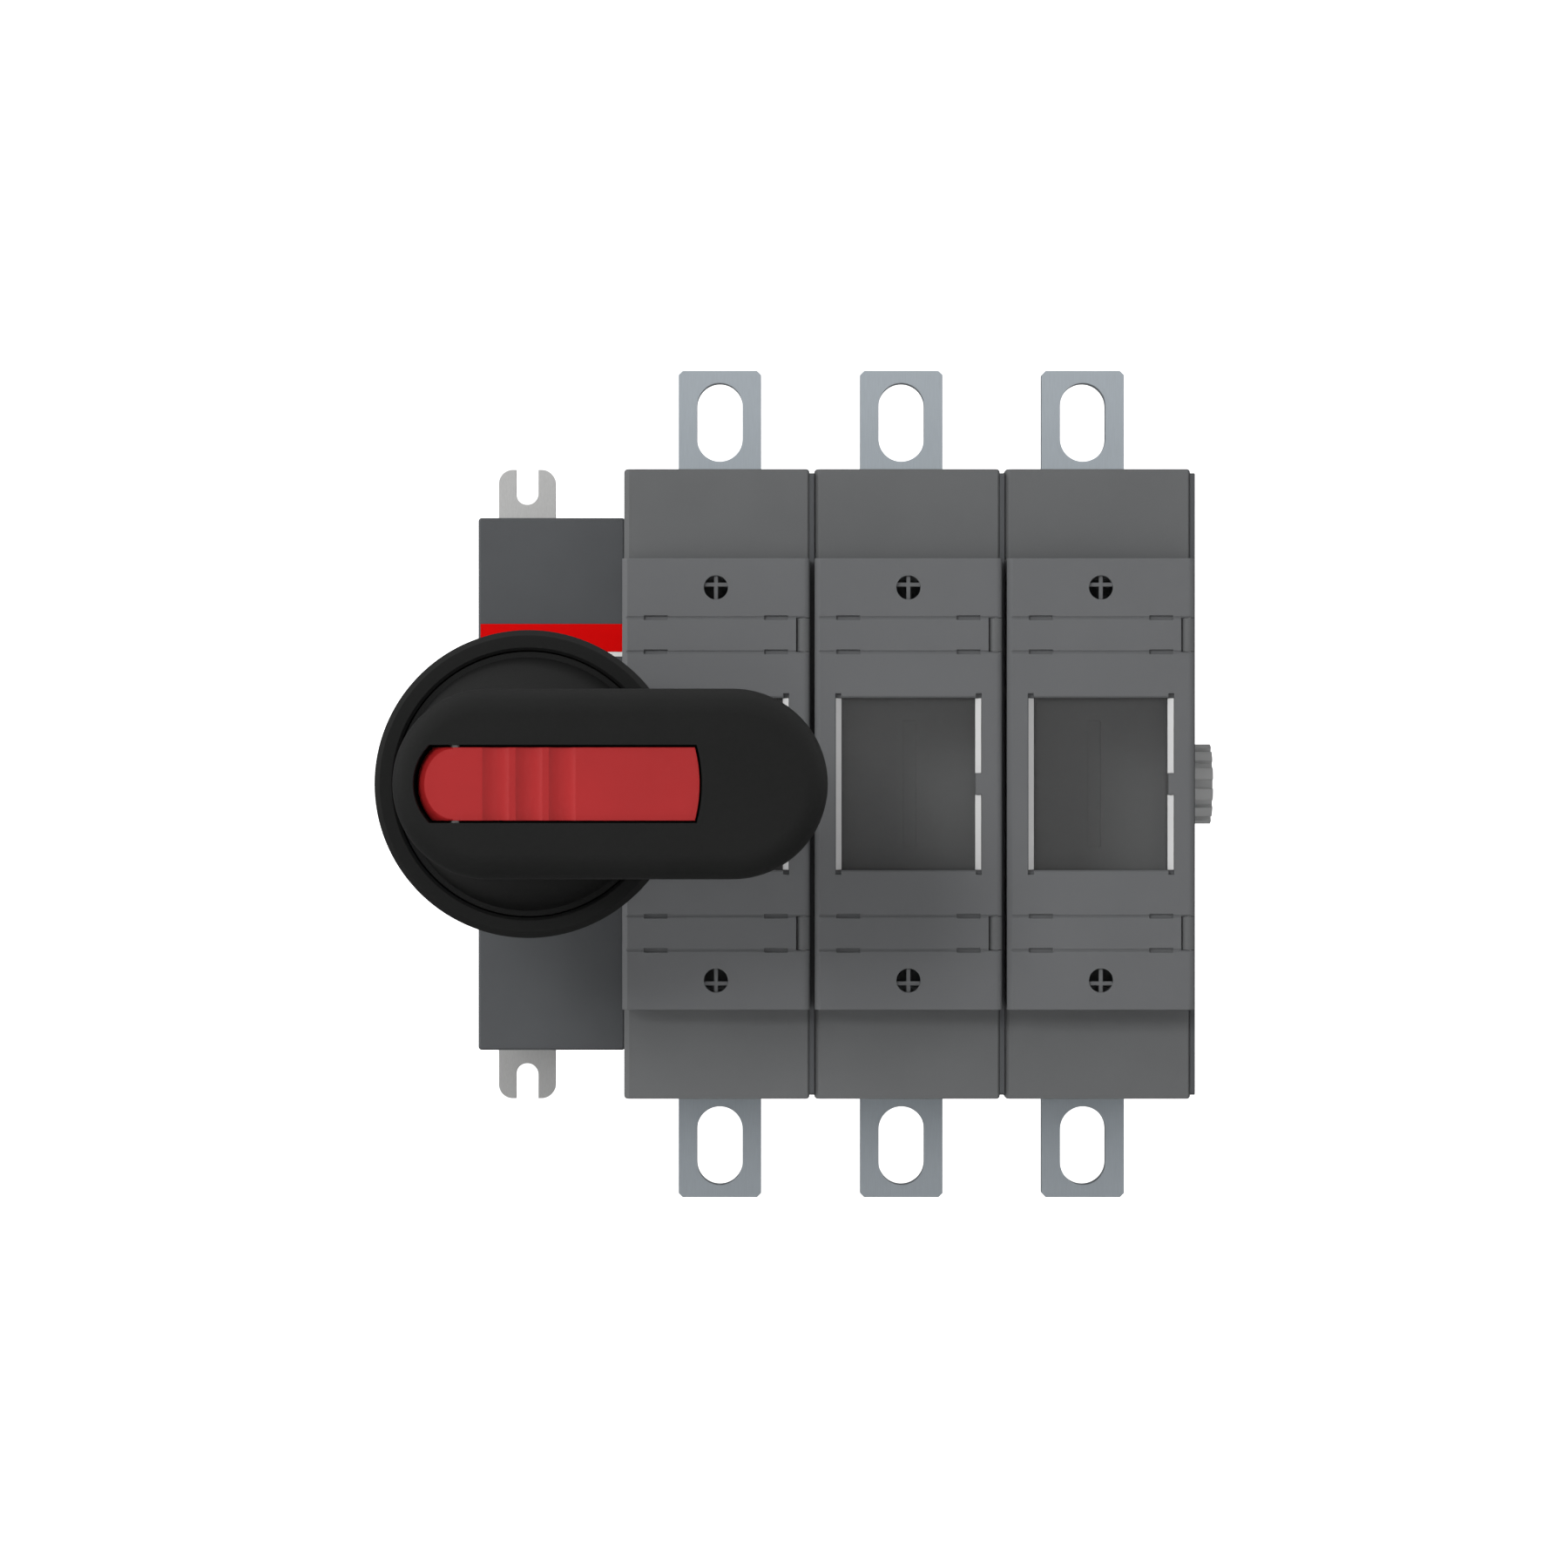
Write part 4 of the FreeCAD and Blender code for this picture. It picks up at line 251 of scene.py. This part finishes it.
# Fuse lids
# One moulded lid on each pole, of the same grey as the pole, hinged on steel pins at its right.
# It has a window opening, two probe holes with a cross rib, and shallow lines across its front.
LID_GREY = (0.118, 0.121, 0.125)
lid_moulding = moulding("lid_moulding", LID_GREY, roughness=0.55, mottle=0.02)
dress(in_each_pole("lid"), lid_moulding)


# Mechanism housing, side plates and rotors
# The case and the front cover that hold the drive's gears are moulded in dark grey polyester, and
# so are the thin plates that part the poles, and the rotors that carry the moving contacts.
DARK_GREY = (0.069, 0.072, 0.076)
dark_moulding = moulding("dark_moulding", DARK_GREY, roughness=0.6, mottle=0.04,
                         grain_size=0.4 * MM)
dress(["mechanism_case", "mechanism_cover"], dark_moulding)
dress(in_each_pole("side_plate", "rotor"), dark_moulding)


# Shaft end cap
# A ribbed round cap, moulded in a pale grey, closes the contact shaft's right end. It turns with
# the shaft, outside the last pole's side plate.
CAP_GREY = (0.50, 0.505, 0.505)
dress(["shaft_end_cap"], moulding("cap_moulding", CAP_GREY, roughness=0.5, mottle=0.03))


# Printed label
# A band of plain red across the mechanism cover, with a narrow white margin below it. Both are
# printed on the cover in thin ink.
BAND_LOW = 30.8 * MM
BAND_HIGH = 37.3 * MM
MARGIN_LOW = 29.7 * MM
PRINT_INSET = 0.5 * MM
PRINT_PROUD = 0.06 * MM
PRINT_GRAIN = 0.3 * MM
PRINT_RELIEF = 0.01 * MM
RED_INK = (0.60, 0.001, 0.001)
WHITE_INK = (0.72, 0.72, 0.70)
red_print = moulding("red_print", RED_INK, roughness=0.6, mottle=0.03, gloss=0.1,
                     grain_size=PRINT_GRAIN, grain_depth=PRINT_RELIEF)
white_print = moulding("white_print", WHITE_INK, roughness=0.5, mottle=0.03,
                       grain_size=PRINT_GRAIN, grain_depth=PRINT_RELIEF)
label_mesh = bpy.data.meshes.new("printed_label")
label_mesh.materials.append(red_print)
label_mesh.materials.append(white_print)
cover_low, cover_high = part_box("mechanism_cover")
print_sides = (cover_low.x + PRINT_INSET, cover_high.x - PRINT_INSET)
print_faces = (cover_low.y - PRINT_PROUD, cover_low.y)
BOX_FACES = ((0, 4, 5, 1), (2, 3, 7, 6), (0, 2, 6, 4), (1, 5, 7, 3), (0, 1, 3, 2), (4, 6, 7, 5))
label = bmesh.new()
for ink, heights in enumerate(((BAND_LOW, BAND_HIGH), (MARGIN_LOW, BAND_LOW))):
    corners = [label.verts.new((x, y, z))
               for x in print_sides for y in print_faces for z in heights]
    for face in BOX_FACES:
        label.faces.new([corners[k] for k in face]).material_index = ink
bmesh.ops.recalc_face_normals(label, faces=label.faces)
label.to_mesh(label_mesh)
label.free()
printed_label = bpy.data.objects.new("printed_label", label_mesh)
bpy.context.scene.collection.objects.link(printed_label)
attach(printed_label, "switch_frame")


# Metal pieces
# Terminals, jaws and contacts are copper with a silvery plating, brushed along their length.
# The feet, shafts, pins and nuts are zinc plated steel, the gears plain steel, the bush brass.
COPPER_PLATING = (0.61, 0.67, 0.72)
ZINC_PLATING = (0.82, 0.82, 0.81)
PLAIN_STEEL = (0.40, 0.40, 0.41)
DRAWN_WIRE = (0.32, 0.32, 0.33)
BRASS = (0.72, 0.52, 0.22)
LINE_DETAIL = 3.0
LINE_LIMITS = (0.25, 0.75)
LINE_SHADE = 0.92
LINE_DEPTH = 0.01 * MM
LINE_STRENGTH = 0.2
METAL_SPREAD = 0.08
METAL_EDGE = 0.2 * MM


def brushed(name, colour, roughness, stretch, line_width):
    """Plated or machined metal with fine lines, long where stretch is small, and soft edges."""
    material = bpy.data.materials.new(name)
    material.use_nodes = True
    tree = material.node_tree
    shader = tree.nodes["Principled BSDF"]
    shader.inputs["Metallic"].default_value = 1.0
    place = tree.nodes.new("ShaderNodeTexCoord")
    mapping = tree.nodes.new("ShaderNodeMapping")
    mapping.inputs["Scale"].default_value = stretch
    tree.links.new(place.outputs["Object"], mapping.inputs["Vector"])
    lines = tree.nodes.new("ShaderNodeTexNoise")
    lines.inputs["Scale"].default_value = 1.0 / line_width
    lines.inputs["Detail"].default_value = LINE_DETAIL
    tree.links.new(mapping.outputs["Vector"], lines.inputs["Vector"])
    tint = tree.nodes.new("ShaderNodeValToRGB")
    tint.color_ramp.elements[0].position = LINE_LIMITS[0]
    tint.color_ramp.elements[0].color = (*[c * LINE_SHADE for c in colour], 1.0)
    tint.color_ramp.elements[1].position = LINE_LIMITS[1]
    tint.color_ramp.elements[1].color = (*colour, 1.0)
    tree.links.new(lines.outputs["Fac"], tint.inputs["Fac"])
    tree.links.new(tint.outputs["Color"], shader.inputs["Base Color"])
    polish = tree.nodes.new("ShaderNodeMapRange")
    polish.inputs["To Min"].default_value = roughness - METAL_SPREAD
    polish.inputs["To Max"].default_value = roughness + METAL_SPREAD
    tree.links.new(lines.outputs["Fac"], polish.inputs["Value"])
    tree.links.new(polish.outputs["Result"], shader.inputs["Roughness"])
    edges = tree.nodes.new("ShaderNodeBevel")
    edges.samples = EDGE_SAMPLES
    edges.inputs["Radius"].default_value = METAL_EDGE
    bump = tree.nodes.new("ShaderNodeBump")
    bump.inputs["Strength"].default_value = LINE_STRENGTH
    bump.inputs["Distance"].default_value = LINE_DEPTH
    tree.links.new(lines.outputs["Fac"], bump.inputs["Height"])
    tree.links.new(edges.outputs["Normal"], bump.inputs["Normal"])
    tree.links.new(bump.outputs["Normal"], shader.inputs["Normal"])
    return material


plated_copper = brushed("plated_copper", COPPER_PLATING, roughness=0.42,
                        stretch=(1.0, 1.0, 0.06), line_width=0.25 * MM)
plated_steel = brushed("plated_steel", ZINC_PLATING, roughness=0.38,
                       stretch=(1.0, 1.0, 0.3), line_width=0.3 * MM)
gear_steel = brushed("gear_steel", PLAIN_STEEL, roughness=0.42,
                     stretch=(1.0, 0.2, 1.0), line_width=0.2 * MM)
spring_steel = brushed("spring_steel", DRAWN_WIRE, roughness=0.35,
                       stretch=(1.0, 1.0, 1.0), line_width=0.2 * MM)
turned_brass = brushed("turned_brass", BRASS, roughness=0.35,
                       stretch=(1.0, 0.2, 1.0), line_width=0.2 * MM)
dress(in_each_pole("upper_terminal", "lower_terminal", "upper_fuse_jaw", "lower_fuse_jaw",
                   "moving_contacts"), plated_copper)
dress(in_each_pole("hinge_pins", "arc_plates"), plated_steel)
dress(["mounting_foot_top", "mounting_foot_bottom", "operating_shaft", "snap_crank",
       "shaft_set_screw", "lever_pin", "contact_shaft", "tie_rods", "tie_rod_nuts"], plated_steel)
dress(["drive_gear", "contact_gear"], gear_steel)
dress(["snap_spring", "collar_clip", "lever_spring"], spring_steel)
dress(["front_bush"], turned_brass)


# Rod threads
# The two tie rods that clamp the modules side by side are M4 studs, and three turns of their
# rolled thread stand out of each nut on the right side. Each turn is a ridge of two cones.
THREAD_PITCH = 0.7 * MM
THREAD_RADIUS = 1.95 * MM
THREAD_ROOT = 1.6 * MM
THREAD_TURNS = 3
RIDGE_SIDES = 32
ROD_BACK = -12.0 * MM
ROD_HEIGHT = 48.0 * MM
nut_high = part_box("tie_rod_nuts")[1]
thread_tree = bpy.data.node_groups.new("rod_threads", "GeometryNodeTree")
thread_tree.interface.new_socket("Geometry", in_out="INPUT", socket_type="NodeSocketGeometry")
thread_sizes = {}
for name, kind in (("Pitch", "NodeSocketFloat"), ("Radius", "NodeSocketFloat"),
                   ("Root", "NodeSocketFloat"), ("Turns", "NodeSocketInt")):
    size = thread_tree.interface.new_socket(name, in_out="INPUT", socket_type=kind)
    thread_sizes[name] = size.identifier
thread_tree.interface.new_socket("Geometry", in_out="OUTPUT", socket_type="NodeSocketGeometry")
group_in = thread_tree.nodes.new("NodeGroupInput")
group_out = thread_tree.nodes.new("NodeGroupOutput")
half_pitch = thread_tree.nodes.new("ShaderNodeMath")
half_pitch.operation = "DIVIDE"
half_pitch.inputs[1].default_value = 2.0
thread_tree.links.new(group_in.outputs["Pitch"], half_pitch.inputs[0])
ridge = thread_tree.nodes.new("GeometryNodeJoinGeometry")
for bottom, top in (("Root", "Radius"), ("Radius", "Root")):
    flank = thread_tree.nodes.new("GeometryNodeMeshCone")
    flank.inputs["Vertices"].default_value = RIDGE_SIDES
    thread_tree.links.new(group_in.outputs[bottom], flank.inputs["Radius Bottom"])
    thread_tree.links.new(group_in.outputs[top], flank.inputs["Radius Top"])
    thread_tree.links.new(half_pitch.outputs[0], flank.inputs["Depth"])
    lift = thread_tree.nodes.new("GeometryNodeTransform")
    thread_tree.links.new(flank.outputs["Mesh"], lift.inputs["Geometry"])
    if bottom == "Radius":
        rise = thread_tree.nodes.new("ShaderNodeCombineXYZ")
        thread_tree.links.new(half_pitch.outputs[0], rise.inputs["Z"])
        thread_tree.links.new(rise.outputs["Vector"], lift.inputs["Translation"])
    thread_tree.links.new(lift.outputs["Geometry"], ridge.inputs["Geometry"])
spacing = thread_tree.nodes.new("ShaderNodeCombineXYZ")
thread_tree.links.new(group_in.outputs["Pitch"], spacing.inputs["Z"])
turns = thread_tree.nodes.new("GeometryNodeMeshLine")
thread_tree.links.new(group_in.outputs["Turns"], turns.inputs["Count"])
thread_tree.links.new(spacing.outputs["Vector"], turns.inputs["Offset"])
stud = thread_tree.nodes.new("GeometryNodeInstanceOnPoints")
thread_tree.links.new(turns.outputs["Mesh"], stud.inputs["Points"])
thread_tree.links.new(ridge.outputs["Geometry"], stud.inputs["Instance"])
both_studs = thread_tree.nodes.new("GeometryNodeInstanceOnPoints")
both_studs.inputs["Rotation"].default_value = (0.0, math.radians(90), 0.0)
thread_tree.links.new(group_in.outputs["Geometry"], both_studs.inputs["Points"])
thread_tree.links.new(stud.outputs["Instances"], both_studs.inputs["Instance"])
real_threads = thread_tree.nodes.new("GeometryNodeRealizeInstances")
thread_tree.links.new(both_studs.outputs["Instances"], real_threads.inputs["Geometry"])
zinc_finish = thread_tree.nodes.new("GeometryNodeSetMaterial")
zinc_finish.inputs["Material"].default_value = plated_steel
thread_tree.links.new(real_threads.outputs["Geometry"], zinc_finish.inputs["Geometry"])
thread_tree.links.new(zinc_finish.outputs["Geometry"], group_out.inputs["Geometry"])

rod_ends = bpy.data.meshes.new("rod_ends")
rod_ends.from_pydata([(nut_high.x, ROD_BACK, ROD_HEIGHT), (nut_high.x, ROD_BACK, -ROD_HEIGHT)],
                     [], [])
thread_maker = bpy.data.objects.new("thread_maker", rod_ends)
bpy.context.scene.collection.objects.link(thread_maker)
threads = thread_maker.modifiers.new("threads", "NODES")
threads.node_group = thread_tree
threads[thread_sizes["Pitch"]] = THREAD_PITCH
threads[thread_sizes["Radius"]] = THREAD_RADIUS
threads[thread_sizes["Root"]] = THREAD_ROOT
threads[thread_sizes["Turns"]] = THREAD_TURNS
evaluated = thread_maker.evaluated_get(bpy.context.evaluated_depsgraph_get())
thread_mesh = bpy.data.meshes.new_from_object(evaluated)
bpy.data.objects.remove(thread_maker)
rod_threads = bpy.data.objects.new("rod_threads", thread_mesh)
bpy.context.scene.collection.objects.link(rod_threads)
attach(rod_threads, "switch_frame")


# Handle and door collar
# A pistol handle and the round collar that seals it to a door, both moulded in black
# glass-filled nylon with a fine matt grain.
HANDLE_BLACK = (0.0078, 0.0080, 0.0078)
HANDLE_GRAIN = 0.3 * MM
black_plastic = moulding("black_plastic", HANDLE_BLACK, roughness=0.6, mottle=0.06, gloss=0.2,
                         grain_size=HANDLE_GRAIN)
dress(["handle", "handle_collar"], black_plastic)


# Lock lever
# A satin red moulded lever that lies in the grip's recess, on a steel pin at its left end. It
# swings out to take padlocks.
LEVER_RED = (0.31, 0.013, 0.014)
red_plastic = moulding("red_plastic", LEVER_RED, roughness=0.38, mottle=0.04, gloss=0.35,
                       grain_size=HANDLE_GRAIN, grain_depth=0.015 * MM)
dress(["lock_lever"], red_plastic)


# Window panes
# A clear polycarbonate pane clipped behind each lid's opening. The slopes along its sides are
# painted pale and opaque, a painted highlight for the room they mirror, as strips beside the
# clear face.
PANE_IOR = 1.45
SIDE_SLANT = 0.25
CLEAR_TINT = (0.20, 0.20, 0.20, 1.0)
PAINTED_GLINT_TINT = (0.56, 0.56, 0.56, 1.0)
CLEAR_ALPHA = 0.13
SLOPE_ALPHA = 1.0
CLEAR_ROUGHNESS = 0.08
SLOPE_ROUGHNESS = 0.5
clear_pane = bpy.data.materials.new("clear_pane")
clear_pane.use_nodes = True
pane_tree = clear_pane.node_tree
pane_shader = pane_tree.nodes["Principled BSDF"]
pane_shader.inputs["IOR"].default_value = PANE_IOR
pane_shape = pane_tree.nodes.new("ShaderNodeTexCoord")
pane_facing = pane_tree.nodes.new("ShaderNodeSeparateXYZ")
pane_tree.links.new(pane_shape.outputs["Normal"], pane_facing.inputs["Vector"])
slant = pane_tree.nodes.new("ShaderNodeMath")
slant.operation = "MULTIPLY"
pane_tree.links.new(pane_facing.outputs["X"], slant.inputs[0])
pane_tree.links.new(pane_facing.outputs["Y"], slant.inputs[1])
slope = pane_tree.nodes.new("ShaderNodeMath")
slope.operation = "ABSOLUTE"
pane_tree.links.new(slant.outputs[0], slope.inputs[0])
# Mask of the side slopes, which get the painted highlight.
glint_slopes = pane_tree.nodes.new("ShaderNodeMath")
glint_slopes.operation = "GREATER_THAN"
glint_slopes.inputs[1].default_value = SIDE_SLANT
pane_tree.links.new(slope.outputs[0], glint_slopes.inputs[0])
for socket, clear, on_slopes in (("Alpha", CLEAR_ALPHA, SLOPE_ALPHA),
                               ("Roughness", CLEAR_ROUGHNESS, SLOPE_ROUGHNESS)):
    level = pane_tree.nodes.new("ShaderNodeMapRange")
    level.inputs["To Min"].default_value = clear
    level.inputs["To Max"].default_value = on_slopes
    pane_tree.links.new(glint_slopes.outputs[0], level.inputs["Value"])
    pane_tree.links.new(level.outputs["Result"], pane_shader.inputs[socket])
# The side slopes are painted pale grey, a painted highlight of the mirrored room; the clear face
# keeps its dark tint.
pane_tint = pane_tree.nodes.new("ShaderNodeValToRGB")
pane_tint.color_ramp.interpolation = "CONSTANT"
pane_tint.color_ramp.elements[0].color = CLEAR_TINT
pane_tint.color_ramp.elements[1].position = 0.5
pane_tint.color_ramp.elements[1].color = PAINTED_GLINT_TINT
pane_tree.links.new(glint_slopes.outputs[0], pane_tint.inputs["Fac"])
pane_tree.links.new(pane_tint.outputs["Color"], pane_shader.inputs["Base Color"])
dress(in_each_pole("window"), clear_pane)
